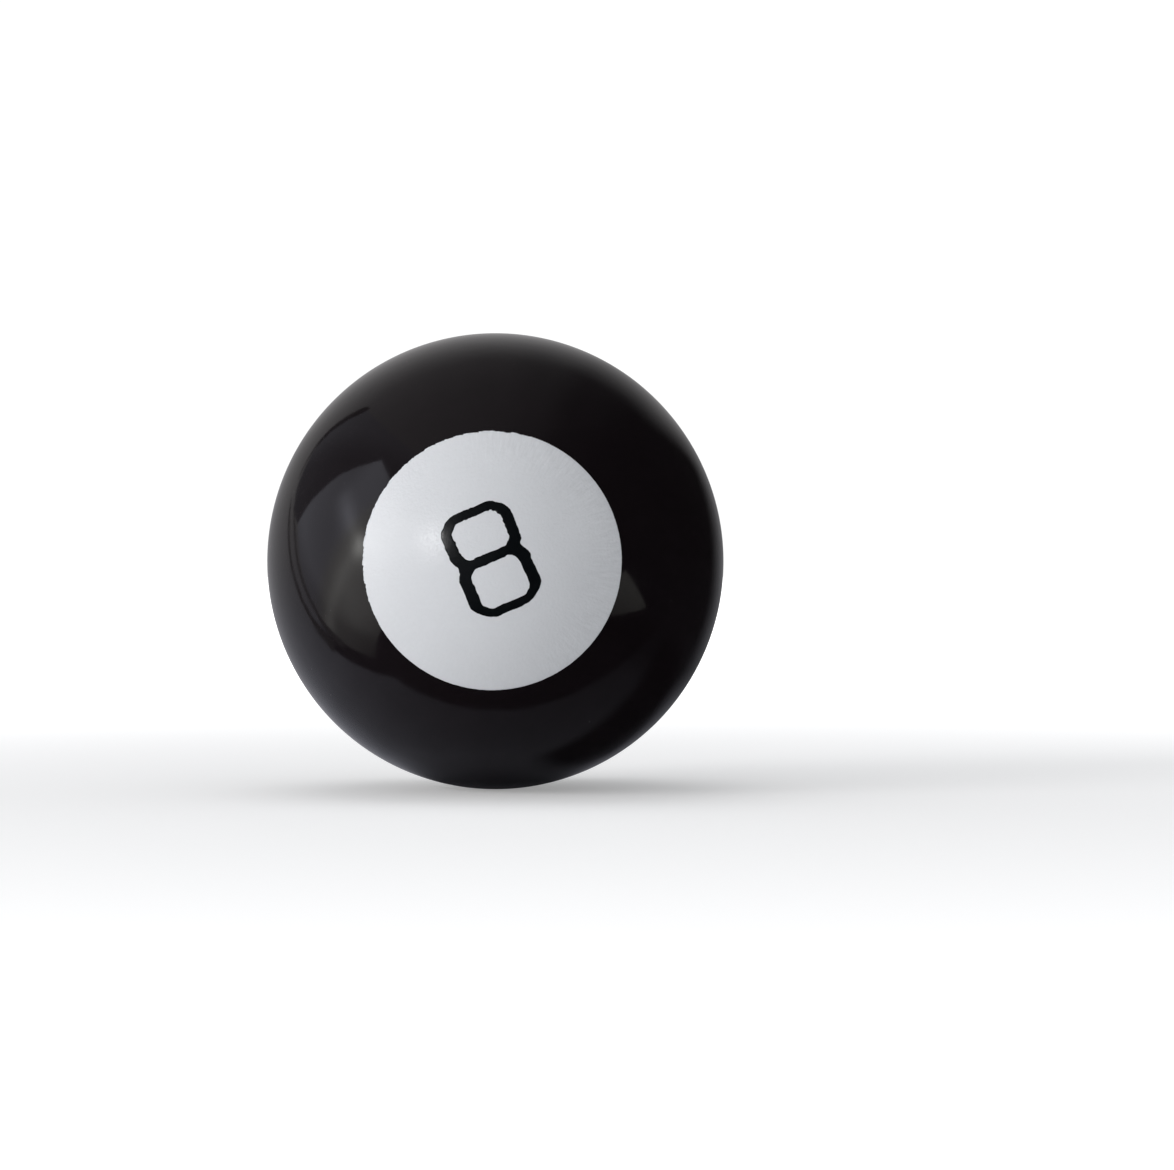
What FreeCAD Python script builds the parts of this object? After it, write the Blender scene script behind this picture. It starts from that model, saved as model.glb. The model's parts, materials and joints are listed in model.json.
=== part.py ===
import FreeCAD, Part

import math
import os

# A small hollow answer ball dressed as an eight ball, in millimetres.
# Origin: centre of the ball. -Y points out through the middle of the number and +Y out through
# the window and the flat foot ring round it. +Z is up.
# The front shell is the half on -Y, with the number; the rear shell is the half on +Y. The front
# half of the die is the one towards the window, +Y. Profiles are lists of (r, y) about the Y axis.

Vector = FreeCAD.Vector
AXIS = Vector(0, 1, 0)
ORIGIN = Vector(0, 0, 0)

# ---- sizes shared by several pieces ------------------------------------------------------------

ball_radius = 19.05
wall = 1.50
inner_radius = ball_radius - wall

# tongue and groove at the seam between the shells, on the plane y = 0
seam_chamfer = 0.08
tongue_inner, tongue_outer, tongue_height = 18.05, 18.55, 0.90
tongue_chamfer = 0.12
tongue_shoulder_y = tongue_height - tongue_chamfer
groove_side_gap = 0.07
groove_inner, groove_outer = tongue_inner - groove_side_gap, tongue_outer + groove_side_gap
groove_depth = tongue_height + 0.20

# window end
collar_outer, collar_y = 10.20, 13.10
window_face_y = 15.50
window_inner_y = window_face_y - 1.30
gasket_thickness = 0.40
shoulder_y = collar_y - gasket_thickness
boss_radius = 8.60

# inside of the vial
vial_radius = 13.0
vial_end_y = -10.60
vial_bore = 11.80
bore_gap = 0.10  # between the bore and what slides into it
seat_y = -1.30  # step in the bore that the funnel seats against
chamber_radius, chamber_end_y = 11.30, 9.60
neck_radius, neck_y = 7.70, 12.20
neck_chamfer = 0.30  # where the neck meets the window

# cap and what sits on it
cap_face_y = -11.40
cap_inner_y = -10.20
spigot_end_y = -8.60
seal_groove_y0, seal_groove_y1 = -9.90, -9.10
filler_boss_y = -12.40
plug_radius, plug_head_radius = 1.45, 2.60
plug_seal_thickness = 0.35
pad_y = cap_face_y - 0.70

# bubble funnel
funnel_skirt_inner = 11.10
funnel_mouth_radius = funnel_skirt_inner + 0.10
funnel_top_y = seat_y - 0.05
funnel_throat_outer, funnel_throat_inner = 2.60, 1.90
funnel_cone_y = -5.90  # where the cone meets the throat
funnel_end_y = -8.00

# floating die: a regular icosahedron, one face flat towards the window
die_edge = 7.36
die_wall = 1.80
sign_height = 0.25
die_gap = 0.05
die_face_distance = die_edge * (3 + math.sqrt(5)) * math.sqrt(3) / 12
die_centre_y = window_inner_y - die_gap - sign_height - die_face_distance


# ---- helpers -----------------------------------------------------------------------------------


def on_sphere(radius, y):
    """The (r, y) point of a sphere of this radius at height y along the axis."""
    return (math.sqrt(radius * radius - y * y), y)


def arc_to(radius, start, end):
    """The profile step that follows a sphere's meridian from start to end."""
    angle = (math.atan2(start[1], start[0]) + math.atan2(end[1], end[0])) / 2
    return (end[0], end[1], (radius * math.cos(angle), radius * math.sin(angle)))


def as_solid(shape):
    """The shape as one solid with its normals outward."""
    if len(shape.Solids) == 1:
        shape = shape.Solids[0]
    if shape.Volume < 0:
        shape = shape.reversed()
    return shape


def turned(profile):
    """A solid of revolution about Y.

    A third entry in a profile point is the middle point of an arc that ends there.
    """
    edges = []
    last = profile[0]
    for step in profile[1:] + [profile[0]]:
        start = Vector(last[0], last[1], 0)
        end = Vector(step[0], step[1], 0)
        last = step
        # a profile may already end on its first point
        if (end - start).Length < 1e-7:
            continue
        if len(step) == 3:
            middle = Vector(step[2][0], step[2][1], 0)
            edges.append(Part.Arc(start, middle, end).toShape())
        else:
            edges.append(Part.LineSegment(start, end).toShape())
    face = Part.Face(Part.Wire(edges))
    return as_solid(face.revolve(ORIGIN, AXIS, 360))


def radial_box(r0, r1, y0, y1, thickness, angle_deg):
    """A block from radius r0 to r1 and from y0 to y1, turned about Y."""
    box = Part.makeBox(r1 - r0, y1 - y0, thickness, Vector(r0, y0, -thickness / 2))
    box.rotate(ORIGIN, AXIS, angle_deg)
    return box


def sphere_zone(radius, y0, y1):
    """The slice of a ball between two heights."""
    low, high = on_sphere(radius, y0), on_sphere(radius, y1)
    return turned([(0, y0), low, arc_to(radius, low, high), (0, y1)])


def ring(r0, r1, y0, y1):
    return turned([(r0, y0), (r1, y0), (r1, y1), (r0, y1)])


# ---- half shells -------------------------------------------------------------------------------

# ribs that centre the vial, evenly spaced about Y
rib_count = 6
rib_angles = [360.0 * i / rib_count + 30.0 for i in range(rib_count)]
rib_thickness = 1.00
rib_gap = 0.15
side_rib_outer = 19.0  # before trimming
side_rib_near_y, side_rib_far_y = 1.6, 8.8  # distances from the seam
foot_rib_inner, foot_rib_outer = 9.8, 16.0
foot_rib_y0, foot_rib_y1 = -15.5, pad_y - 0.1

# ribs and pad collar are trimmed to a ball that reaches this far into the shell wall
trim_radius = inner_radius + 0.4
front_trim_y = -16.5

# collar in the front shell that carries the foam pad
pad_collar_inner, pad_collar_outer, pad_collar_y = 8.90, 10.20, -16.0

# flat foot ring and the opening inside it
foot_y = 16.25
foot_outer, foot_inner = 9.85, 8.98
foot_rounding_drop = 0.16  # from the foot to where its rounding meets the ball
foot_rounding_bulge = 0.035  # of the rounding's middle, in both r and y
mouth_rounding = 0.23
mouth_mid_in, mouth_mid_drop = 0.165, 0.065  # middle of the opening's rounding
opening_radius = foot_inner - mouth_rounding


def side_rib(y0, y1, angle):
    return radial_box(vial_radius + rib_gap, side_rib_outer, y0, y1, rib_thickness, angle)


def make_front_shell():
    lip = on_sphere(ball_radius, -seam_chamfer)
    pole, inner_pole = (0.0, -ball_radius), (0.0, -inner_radius)
    body = turned(
        [
            (ball_radius - seam_chamfer, 0.0),
            lip,
            arc_to(ball_radius, lip, pole),
            inner_pole,
            arc_to(inner_radius, inner_pole, (inner_radius, 0.0)),
            (tongue_inner, 0.0),
            (tongue_inner, tongue_shoulder_y),
            (tongue_inner + tongue_chamfer, tongue_height),
            (tongue_outer - tongue_chamfer, tongue_height),
            (tongue_outer, tongue_shoulder_y),
            (tongue_outer, 0.0),
        ]
    )
    collar = ring(pad_collar_inner, pad_collar_outer, pad_collar_y, pad_y)
    extra = [collar.common(sphere_zone(trim_radius, front_trim_y, -2.0))]
    trim = sphere_zone(trim_radius, front_trim_y, -1.0)
    for angle in rib_angles:
        side = side_rib(-side_rib_far_y, -side_rib_near_y, angle)
        foot = radial_box(
            foot_rib_inner, foot_rib_outer, foot_rib_y0, foot_rib_y1, rib_thickness, angle
        )
        extra += [side.common(trim), foot.common(trim)]
    return as_solid(body.fuse(extra).removeSplitter())


def make_rear_shell():
    lip = on_sphere(ball_radius, seam_chamfer)
    shoulder = on_sphere(ball_radius, foot_y - foot_rounding_drop)
    foot_rounding_mid = (
        (shoulder[0] + foot_outer) / 2 + foot_rounding_bulge,
        (shoulder[1] + foot_y) / 2 + foot_rounding_bulge,
    )
    mouth_mid = (foot_inner - mouth_mid_in, foot_y - mouth_mid_drop)
    collar_root = (collar_outer, math.sqrt(inner_radius**2 - collar_outer**2))
    body = turned(
        [
            (ball_radius - seam_chamfer, 0.0),
            lip,
            arc_to(ball_radius, lip, shoulder),
            (foot_outer, foot_y, foot_rounding_mid),
            (foot_inner, foot_y),
            (opening_radius, foot_y - mouth_rounding, mouth_mid),
            (opening_radius, collar_y),
            (collar_outer, collar_y),
            collar_root,
            arc_to(inner_radius, collar_root, (inner_radius, 0.0)),
            (groove_inner, 0.0),
            (groove_inner, groove_depth),
            (groove_outer, groove_depth),
            (groove_outer, 0.0),
        ]
    )
    trim = sphere_zone(trim_radius, 1.0, 12.0)
    ribs = [
        side_rib(side_rib_near_y, side_rib_far_y, angle).common(trim) for angle in rib_angles
    ]
    return as_solid(body.fuse(ribs).removeSplitter())


def make_seam_bond():
    """Cement that fills the groove beyond the tongue's end."""
    return turned(
        [
            (groove_inner, groove_depth),
            (groove_inner, tongue_shoulder_y),
            (tongue_inner, tongue_shoulder_y),
            (tongue_inner + tongue_chamfer, tongue_height),
            (tongue_outer - tongue_chamfer, tongue_height),
            (tongue_outer, tongue_shoulder_y),
            (groove_outer, tongue_shoulder_y),
            (groove_outer, groove_depth),
        ]
    )


# ---- number ------------------------------------------------------------------------------------

disc_radius = 10.25
disc_top = ball_radius + 0.04  # a printed layer on top of the shell
ink_top = disc_top + 0.03  # the figure is printed over it

# Half outlines of the figure from top to bottom, mirrored in x: (x, z) about the spot's centre.
numeral_outline = [
    (1.60, 4.40), (2.12, 4.13), (2.78, 3.47), (2.93, 3.15), (2.93, 1.05), (2.86, 0.84),
    (2.62, 0.46), (2.60, 0.24), (2.97, -0.46), (2.98, -2.95), (2.80, -3.27), (1.98, -3.96),
    (1.42, -4.22),
]
numeral_upper_hole = [(1.50, 3.68), (2.04, 3.02), (2.04, 1.10), (1.56, 0.63)]
numeral_lower_hole = [(1.55, -0.16), (2.02, -0.66), (2.02, -3.00), (1.46, -3.53)]
hole_corner = 0.16  # rounding of the holes' corners
outline_corner = hole_corner / 2
numeral_tilt_deg = 23.3  # the figure's top leans towards -X


def make_number_disc():
    # the edge is a cone through the ball's centre, so it is square to the surface
    angle = math.asin(disc_radius / ball_radius)
    rim, floor = (
        (radius * math.sin(angle), -radius * math.cos(angle)) for radius in (disc_top, ball_radius)
    )
    pole, floor_pole = (0.0, -disc_top), (0.0, -ball_radius)
    return turned(
        [
            floor_pole,
            pole,
            arc_to(disc_top, pole, rim),
            floor,
            arc_to(ball_radius, floor, floor_pole),
        ]
    )


def outline_prism(half, y0, y1, corner):
    """A half outline, mirrored in x, drawn out along y and with its corners rounded."""
    points = half + [(-x, z) for x, z in reversed(half)]
    wire = Part.makePolygon([Vector(x, y0, z) for x, z in points + points[:1]])
    prism = Part.Face(wire).extrude(Vector(0, y1 - y0, 0))
    along_y = [
        edge
        for edge in prism.Edges
        if abs(edge.Vertexes[0].Y - edge.Vertexes[-1].Y) > abs(y1 - y0) - 1e-6
    ]
    return prism.makeFillet(corner, along_y)


def make_numeral():
    """A figure 8 of two loops that share their middle bar, a thin raised layer on the spot."""
    y0, y1 = -(ball_radius + 1.0), -(ball_radius - 1.5)
    outer = outline_prism(numeral_outline, y0, y1, outline_corner)
    upper, lower = (
        outline_prism(hole, y0 - 1, y1 + 1, hole_corner)
        for hole in (numeral_upper_hole, numeral_lower_hole)
    )
    figure = outer.cut(upper.fuse(lower))
    figure.rotate(ORIGIN, AXIS, -numeral_tilt_deg)
    layer = Part.makeSphere(ink_top).cut(Part.makeSphere(disc_top))
    number_side = Part.makeBox(30, 10, 30, Vector(-15, -ball_radius - 2, -15))
    return as_solid(figure.common(layer.common(number_side)))


# ---- vial --------------------------------------------------------------------------------------

shoulder_outer = 10.30
cone_start_y = 10.20  # where the vial starts to narrow towards the window
boss_chamfer = 0.25


def make_vial_cup():
    return turned(
        [
            (0.0, window_face_y),
            (boss_radius - boss_chamfer, window_face_y),
            (boss_radius, window_face_y - boss_chamfer),
            (boss_radius, shoulder_y),
            (shoulder_outer, shoulder_y),
            (vial_radius, cone_start_y),
            (vial_radius, vial_end_y),
            (vial_bore, vial_end_y),
            (vial_bore, seat_y),
            (chamber_radius, seat_y),
            (chamber_radius, chamber_end_y),
            (neck_radius, neck_y),
            (neck_radius, window_inner_y - neck_chamfer),
            (neck_radius - neck_chamfer, window_inner_y),
            (0.0, window_inner_y),
        ]
    )


def make_window_gasket():
    """A ring between the vial's shoulder and the rear shell's collar, widest at mid height."""
    bore = boss_radius + 0.06
    rim = collar_outer - 0.05
    rim_taper, bore_taper = 0.10, 0.11
    mid_y = (shoulder_y + collar_y) / 2
    return turned(
        [
            (bore, shoulder_y),
            (rim - rim_taper, shoulder_y),
            (rim, mid_y),
            (rim - rim_taper, collar_y),
            (bore + bore_taper, collar_y),
            (bore, mid_y),
        ]
    )


spigot_radius, spigot_inner = vial_bore - bore_gap, 10.40
spigot_chamfer = 0.25
cap_chamfer = 0.30
seal_groove_radius = 11.10
seal_ring_radius, seal_cord_radius = 11.45, 0.34
filler_radius = 1.50
filler_boss_radius, filler_boss_chamfer = 3.20, 0.20

# stiffening ribs on the wet side of the cap's plate
cap_rib_count = 6
cap_rib_inner, cap_rib_thickness = 2.6, 0.8
cap_rib_overlap, cap_rib_height = 0.2, 0.6


def make_vial_cap():
    body = turned(
        [
            (filler_radius, cap_inner_y),
            (spigot_inner, cap_inner_y),
            (spigot_inner, spigot_end_y),
            (spigot_radius - spigot_chamfer, spigot_end_y),
            (spigot_radius, spigot_end_y - spigot_chamfer),
            (spigot_radius, seal_groove_y1),
            (seal_groove_radius, seal_groove_y1),
            (seal_groove_radius, seal_groove_y0),
            (spigot_radius, seal_groove_y0),
            (spigot_radius, vial_end_y),
            (vial_radius, vial_end_y),
            (vial_radius, cap_face_y + cap_chamfer),
            (vial_radius - cap_chamfer, cap_face_y),
            (filler_boss_radius, cap_face_y),
            (filler_boss_radius, filler_boss_y + filler_boss_chamfer),
            (filler_boss_radius - filler_boss_chamfer, filler_boss_y),
            (filler_radius, filler_boss_y),
        ]
    )
    ribs = [
        radial_box(
            cap_rib_inner,
            spigot_inner + cap_rib_overlap,
            cap_inner_y - cap_rib_overlap,
            cap_inner_y + cap_rib_height,
            cap_rib_thickness,
            360.0 / cap_rib_count * i,
        )
        for i in range(cap_rib_count)
    ]
    return as_solid(body.fuse(ribs).removeSplitter())


def make_cap_seal():
    mid_y = (seal_groove_y0 + seal_groove_y1) / 2
    ring_centre = Vector(0, mid_y, 0)
    return as_solid(Part.makeTorus(seal_ring_radius, seal_cord_radius, ring_centre, AXIS))


funnel_skirt_outer = vial_bore - bore_gap
funnel_skirt_end_y = spigot_end_y + 0.05
# the cone's outer face meets the throat and the skirt this far below the inner face's ends
throat_drop, skirt_drop = 0.35, 1.05
notch_count, notch_width = 4, 2.0
notch_inner, notch_outer = 10.0, 13.0
notch_y0, notch_y1 = spigot_end_y - 0.5, spigot_end_y + 1.2


def make_bubble_funnel():
    body = turned(
        [
            (funnel_skirt_outer, funnel_skirt_end_y),
            (funnel_skirt_outer, funnel_top_y),
            (funnel_mouth_radius, funnel_top_y),
            (funnel_throat_inner, funnel_cone_y),
            (funnel_throat_inner, funnel_end_y),
            (funnel_throat_outer, funnel_end_y),
            (funnel_throat_outer, funnel_cone_y - throat_drop),
            (funnel_skirt_inner, funnel_top_y - skirt_drop),
            (funnel_skirt_inner, funnel_skirt_end_y),
        ]
    )
    # notches at the skirt's free edge let the filling reach the space behind the funnel
    notches = [
        radial_box(
            notch_inner, notch_outer, notch_y0, notch_y1, notch_width, 45.0 + 360.0 / notch_count * i
        )
        for i in range(notch_count)
    ]
    return as_solid(body.cut(notches[0].fuse(notches[1:])))


plug_seat_y = filler_boss_y - plug_seal_thickness
plug_head_y = -13.60
plug_head_chamfer = 0.25
plug_tip_y = cap_inner_y + 0.45
plug_tip_chamfer = 0.35


def make_filler_plug():
    return turned(
        [
            (0.0, plug_tip_y),
            (plug_radius - plug_tip_chamfer, plug_tip_y),
            (plug_radius, plug_tip_y - plug_tip_chamfer),
            (plug_radius, plug_seat_y),
            (plug_head_radius, plug_seat_y),
            (plug_head_radius, plug_head_y + plug_head_chamfer),
            (plug_head_radius - plug_head_chamfer, plug_head_y),
            (0.0, plug_head_y),
        ]
    )


def make_plug_seal():
    """A washer between the filler boss and the plug's head, its rim bulged."""
    bore = plug_radius + 0.04
    rim = plug_head_radius - 0.02
    bulge = 0.08
    return turned(
        [
            (bore, filler_boss_y),
            (rim - bulge, filler_boss_y),
            (rim, (filler_boss_y + plug_seat_y) / 2),
            (rim - bulge, plug_seat_y),
            (bore, plug_seat_y),
        ]
    )


def make_vial_pad():
    """A foam ring between the cap and the front shell's collar, bulged on both sides."""
    inner, outer = 7.60, 11.40
    bulge = 0.10
    mid_y = (cap_face_y + pad_y) / 2
    return turned(
        [
            (inner, cap_face_y),
            (outer, cap_face_y),
            (outer + bulge, mid_y),
            (outer, pad_y),
            (inner, pad_y),
            (inner - bulge, mid_y),
        ]
    )


# ---- die ---------------------------------------------------------------------------------------

# ring joint between the halves of the die, about its centre plane
die_lip_inner, die_lip_outer, die_lip_height = 5.00, 5.50, 0.50
die_slot_side_gap, die_slot_end_gap = 0.05, 0.10
die_joint_top = 0.5  # the rings start this far inside the front half

sign_root = 0.3  # how far a sign starts below the die's face

# Tick: (right, up) about the face's centre.
tick_outline = [
    (-1.35, 0.05), (-0.45, -0.95), (1.45, 1.15), (1.05, 1.50), (-0.45, -0.18), (-0.98, 0.42),
]


def cross_outline():
    """An upright cross turned by 45 degrees."""
    half, reach = 0.27, 1.15  # half the width of an arm, and its length from the centre
    upright = [
        (-half, reach), (half, reach), (half, half), (reach, half), (reach, -half),
        (half, -half), (half, -reach), (-half, -reach), (-half, -half), (-reach, -half),
        (-reach, half), (-half, half),
    ]
    cosine = math.sqrt(0.5)
    return [((x - y) * cosine, (x + y) * cosine) for x, y in upright]


def wave_outline():
    """A wavy bar of one and a half periods."""
    half_length, half_width, amplitude = 1.45, 0.27, 0.36
    intervals = 16
    top, low = [], []
    for i in range(intervals + 1):
        x = -half_length + 2 * half_length * i / intervals
        y = amplitude * math.sin(x / half_length * math.pi * 1.5)
        top.append((x, y + half_width))
        low.append((x, y - half_width))
    return top + low[::-1]


def find_triangles(points, edge):
    """The corner numbers of every triangle whose sides all have this length."""
    found = []
    count = len(points)
    for i in range(count):
        for j in range(i + 1, count):
            for k in range(j + 1, count):
                sides = (
                    (points[i] - points[j]).Length,
                    (points[j] - points[k]).Length,
                    (points[k] - points[i]).Length,
                )
                if all(abs(side - edge) < 1e-6 * edge for side in sides):
                    found.append((i, j, k))
    return found


def corner_sum(points, face):
    return points[face[0]] + points[face[1]] + points[face[2]]


def icosahedron(face_distance):
    """Corners and faces round the origin.

    One face is square to +Y and one of that face's corners points towards +Z.
    """
    edge = face_distance * 12 / ((3 + math.sqrt(5)) * math.sqrt(3))
    golden = (1 + math.sqrt(5)) / 2
    points = []
    for a in (-1, 1):
        for b in (-golden, golden):
            points += [Vector(0, a, b), Vector(a, b, 0), Vector(b, 0, a)]
    points = [point * (edge / 2) for point in points]
    faces = find_triangles(points, edge)
    turn = FreeCAD.Rotation(corner_sum(points, faces[0]) * (1 / 3.0), Vector(0, 1, 0))
    points = [turn.multVec(point) for point in points]
    corner = points[faces[0][0]]
    spin = FreeCAD.Rotation(Vector(0, 1, 0), math.degrees(-math.atan2(corner.x, corner.z)))
    return [spin.multVec(point) for point in points], faces


def polyhedron(points, faces):
    """A solid from triangles, each wound so that its normal points away from the origin."""
    made = []
    for face in faces:
        a, b, c = (points[i] for i in face)
        if (b - a).cross(c - a).dot(a + b + c) < 0:
            b, c = c, b
        made.append(Part.Face(Part.makePolygon([a, b, c, a])))
    return as_solid(Part.makeSolid(Part.makeShell(made)))


def make_signs(points, faces):
    """A raised sign on each face, the three kinds in turn from the +Y face to the -Y face."""

    def place(face):
        total = corner_sum(points, face)
        return (-round(total.y, 4), round(math.atan2(total.x, total.z), 4))

    outlines = (tick_outline, cross_outline(), wave_outline())
    signs = []
    for number, face in enumerate(sorted(faces, key=place)):
        # the sign's top is towards the face's highest corner
        corners = sorted((points[i] for i in face), key=lambda point: -round(point.z, 4))
        centre = (corners[0] + corners[1] + corners[2]) * (1 / 3.0)
        normal = Vector(centre.x, centre.y, centre.z).normalize()
        up = (corners[0] - centre).normalize()
        right = up.cross(normal).normalize()
        base = centre - normal * sign_root
        loop = [base + right * x + up * y for x, y in outlines[number % 3]]
        outline = Part.Face(Part.makePolygon(loop + [loop[0]]))
        signs.append(outline.extrude(normal * (sign_root + sign_height)))
    return signs


def make_die_halves():
    """The front (+Y) and back (-Y) halves of the hollow die."""
    points, faces = icosahedron(die_face_distance)
    whole = polyhedron(points, faces)
    whole = whole.fuse(make_signs(points, faces)).removeSplitter()
    whole = whole.cut(polyhedron(*icosahedron(die_face_distance - die_wall)))

    size = 30.0
    front = Part.makeBox(size, size / 2, size, Vector(-size / 2, 0, -size / 2))
    back = Part.makeBox(size, size / 2, size, Vector(-size / 2, -size / 2, -size / 2))
    lip = ring(die_lip_inner, die_lip_outer, -die_lip_height, die_joint_top)
    slot = ring(
        die_lip_inner - die_slot_side_gap,
        die_lip_outer + die_slot_side_gap,
        -die_lip_height - die_slot_end_gap,
        die_joint_top,
    )
    front_half = as_solid(whole.common(front).fuse(lip.common(back)).removeSplitter())
    back_half = as_solid(whole.common(back).cut(slot))
    for half in (front_half, back_half):
        half.translate(Vector(0, die_centre_y, 0))
    return front_half, back_half


# ---- filling -----------------------------------------------------------------------------------

liquid_gap = 0.05


def make_dye_liquid():
    """The filling between window and funnel, with a plain icosahedral hollow for the die."""
    top_y = window_inner_y - liquid_gap
    neck = neck_radius - liquid_gap
    chamber = chamber_radius - liquid_gap
    throat = funnel_throat_inner - liquid_gap
    # the funnel's wet face, moved off it by the gap
    slope = (funnel_top_y - funnel_cone_y) / (funnel_mouth_radius - funnel_throat_inner)
    lift = liquid_gap * math.sqrt(1 + slope * slope)
    body = turned(
        [
            (0.0, top_y),
            (neck - neck_chamfer, top_y),
            (neck, top_y - neck_chamfer),
            (neck, neck_y - liquid_gap),
            (chamber, chamber_end_y - liquid_gap),
            (chamber, funnel_cone_y + (chamber - funnel_throat_inner) * slope + lift),
            (throat, funnel_cone_y + lift),
            (throat, funnel_end_y + liquid_gap),
            (0.0, funnel_end_y + liquid_gap),
        ]
    )
    hollow = polyhedron(*icosahedron(die_face_distance + sign_height + liquid_gap))
    hollow.translate(Vector(0, die_centre_y, 0))
    return as_solid(body.cut(hollow))


# ---- write -------------------------------------------------------------------------------------

die_front, die_back = make_die_halves()

parts = {
    "front_shell": make_front_shell(),
    "rear_shell": make_rear_shell(),
    "seam_bond": make_seam_bond(),
    "number_disc": make_number_disc(),
    "numeral_eight": make_numeral(),
    "vial_cup": make_vial_cup(),
    "window_gasket": make_window_gasket(),
    "vial_cap": make_vial_cap(),
    "cap_seal": make_cap_seal(),
    "bubble_funnel": make_bubble_funnel(),
    "filler_plug": make_filler_plug(),
    "plug_seal": make_plug_seal(),
    "vial_pad": make_vial_pad(),
    "dye_liquid": make_dye_liquid(),
    "die_front_half": die_front,
    "die_back_half": die_back,
}

os.makedirs("parts", exist_ok=True)
for name, shape in parts.items():
    shape.exportStep(os.path.join("parts", name + ".step"))
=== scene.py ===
"""A small black ball, 38 mm across: fine meshes and looks over its CAD pieces, and a studio.

The ball's centre is the origin. Its front (-Y) carries a white spot with a figure eight. Its rear
(+Y) is cut to a flat foot around the clear face of a vial. Seen from the front, +X is right and
+Z is up. Shapes are drawn in millimetres, and MM turns them into the scene's metres.
"""

import json
import math

import bmesh
import bpy
import numpy as np
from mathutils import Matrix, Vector, noise

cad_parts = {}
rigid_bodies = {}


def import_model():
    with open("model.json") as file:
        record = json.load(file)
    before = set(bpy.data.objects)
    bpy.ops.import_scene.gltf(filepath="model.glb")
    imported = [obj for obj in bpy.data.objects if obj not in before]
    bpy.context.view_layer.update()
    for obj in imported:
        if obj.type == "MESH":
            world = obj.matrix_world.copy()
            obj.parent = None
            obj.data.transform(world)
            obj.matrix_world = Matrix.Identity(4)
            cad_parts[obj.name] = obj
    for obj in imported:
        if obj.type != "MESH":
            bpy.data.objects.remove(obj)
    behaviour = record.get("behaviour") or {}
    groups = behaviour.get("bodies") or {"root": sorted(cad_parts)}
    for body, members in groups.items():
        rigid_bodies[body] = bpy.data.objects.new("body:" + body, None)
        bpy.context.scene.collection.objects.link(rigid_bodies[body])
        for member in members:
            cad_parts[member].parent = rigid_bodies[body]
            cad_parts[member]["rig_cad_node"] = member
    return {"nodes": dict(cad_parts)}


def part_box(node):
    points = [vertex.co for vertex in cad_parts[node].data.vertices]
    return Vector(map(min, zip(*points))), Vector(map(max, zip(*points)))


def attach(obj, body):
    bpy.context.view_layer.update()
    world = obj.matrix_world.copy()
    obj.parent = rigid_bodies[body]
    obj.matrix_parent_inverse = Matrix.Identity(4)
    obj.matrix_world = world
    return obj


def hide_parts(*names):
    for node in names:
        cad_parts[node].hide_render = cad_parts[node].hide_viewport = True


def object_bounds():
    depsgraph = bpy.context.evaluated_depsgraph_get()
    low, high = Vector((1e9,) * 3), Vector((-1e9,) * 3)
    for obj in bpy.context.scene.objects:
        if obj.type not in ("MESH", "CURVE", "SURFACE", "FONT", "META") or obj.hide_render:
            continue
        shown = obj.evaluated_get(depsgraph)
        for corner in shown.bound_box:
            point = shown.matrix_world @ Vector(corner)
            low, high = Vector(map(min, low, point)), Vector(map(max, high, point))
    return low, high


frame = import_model()
cad_lo, cad_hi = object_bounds()
nodes = frame["nodes"]
scene = bpy.context.scene
MM = 0.001


def box_mm(name):
    """The low and high corners of a CAD node's box, in millimetres."""
    low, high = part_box(name)
    return np.array(low) / MM, np.array(high) / MM


# Driving sizes, mostly read off the CAD boxes, in millimetres
BALL_R = box_mm("front_shell")[1][0]
WALL = 1.50
INSIDE_R = BALL_R - WALL
FOOT_Y = box_mm("rear_shell")[1][1]
FACE_Y = box_mm("vial_cup")[1][1]
VIAL_END_Y = box_mm("vial_cup")[0][1]
SPOT_LAYER = 0.04
INK_LAYER = 0.03
SPOT_R = box_mm("number_disc")[1][0] * BALL_R / (BALL_R + SPOT_LAYER)

ON_AXIS = 1e-9  # a radius up to this lies on the Y axis
LATHE_LIMITS = (5.0, 2.4, 1.2, 0.55)  # a ring's points are halved below each radius
SPOT_LIMITS = (6.5, 3.2, 1.6, 0.8, 0.35)


# ---- mesh helpers ----------------------------------------------------------------------------


def signed_volume(points, faces):
    """Volume inside a closed mesh, negative if its faces are turned inwards."""
    points = np.asarray(points, float)
    tris = np.array([(f[0], f[i], f[i + 1]) for f in faces for i in range(1, len(f) - 1)])
    a, b, c = (points[tris[:, i]] for i in range(3))
    return float(np.einsum("ij,ij->i", a, np.cross(b, c)).sum() / 6)


def turned_out(points, faces):
    """The faces of a closed mesh, with their normals outwards."""
    if signed_volume(points, faces) < 0:
        return [tuple(reversed(face)) for face in faces]
    return faces


def mark_sharp(mesh, degrees):
    """Smooth shading, except across edges that turn by more than an angle."""
    bm = bmesh.new()
    bm.from_mesh(mesh)
    limit = math.radians(degrees)
    for edge in bm.edges:
        edge.smooth = not (len(edge.link_faces) == 2 and edge.calc_face_angle(0.0) > limit)
    for face in bm.faces:
        face.smooth = True
    bm.to_mesh(mesh)
    bm.free()


def add_mesh(name, points, faces):
    """A linked mesh object from points in metres."""
    mesh = bpy.data.meshes.new(name)
    mesh.from_pydata(points, [], faces)
    ob = bpy.data.objects.new(name, mesh)
    scene.collection.objects.link(ob)
    return ob


def make_solid(name, points_mm, faces, sharp=35.0):
    """A closed solid from points in millimetres, shaded smooth up to the sharp angle."""
    points = np.asarray(points_mm, float)
    ob = add_mesh(name, (points * MM).tolist(), turned_out(points, faces))
    ob.data.validate()
    mark_sharp(ob.data, sharp)
    return ob


def ring_count(radius, full, limits=LATHE_LIMITS):
    return full // 2 ** sum(radius <= limit for limit in limits)


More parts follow.
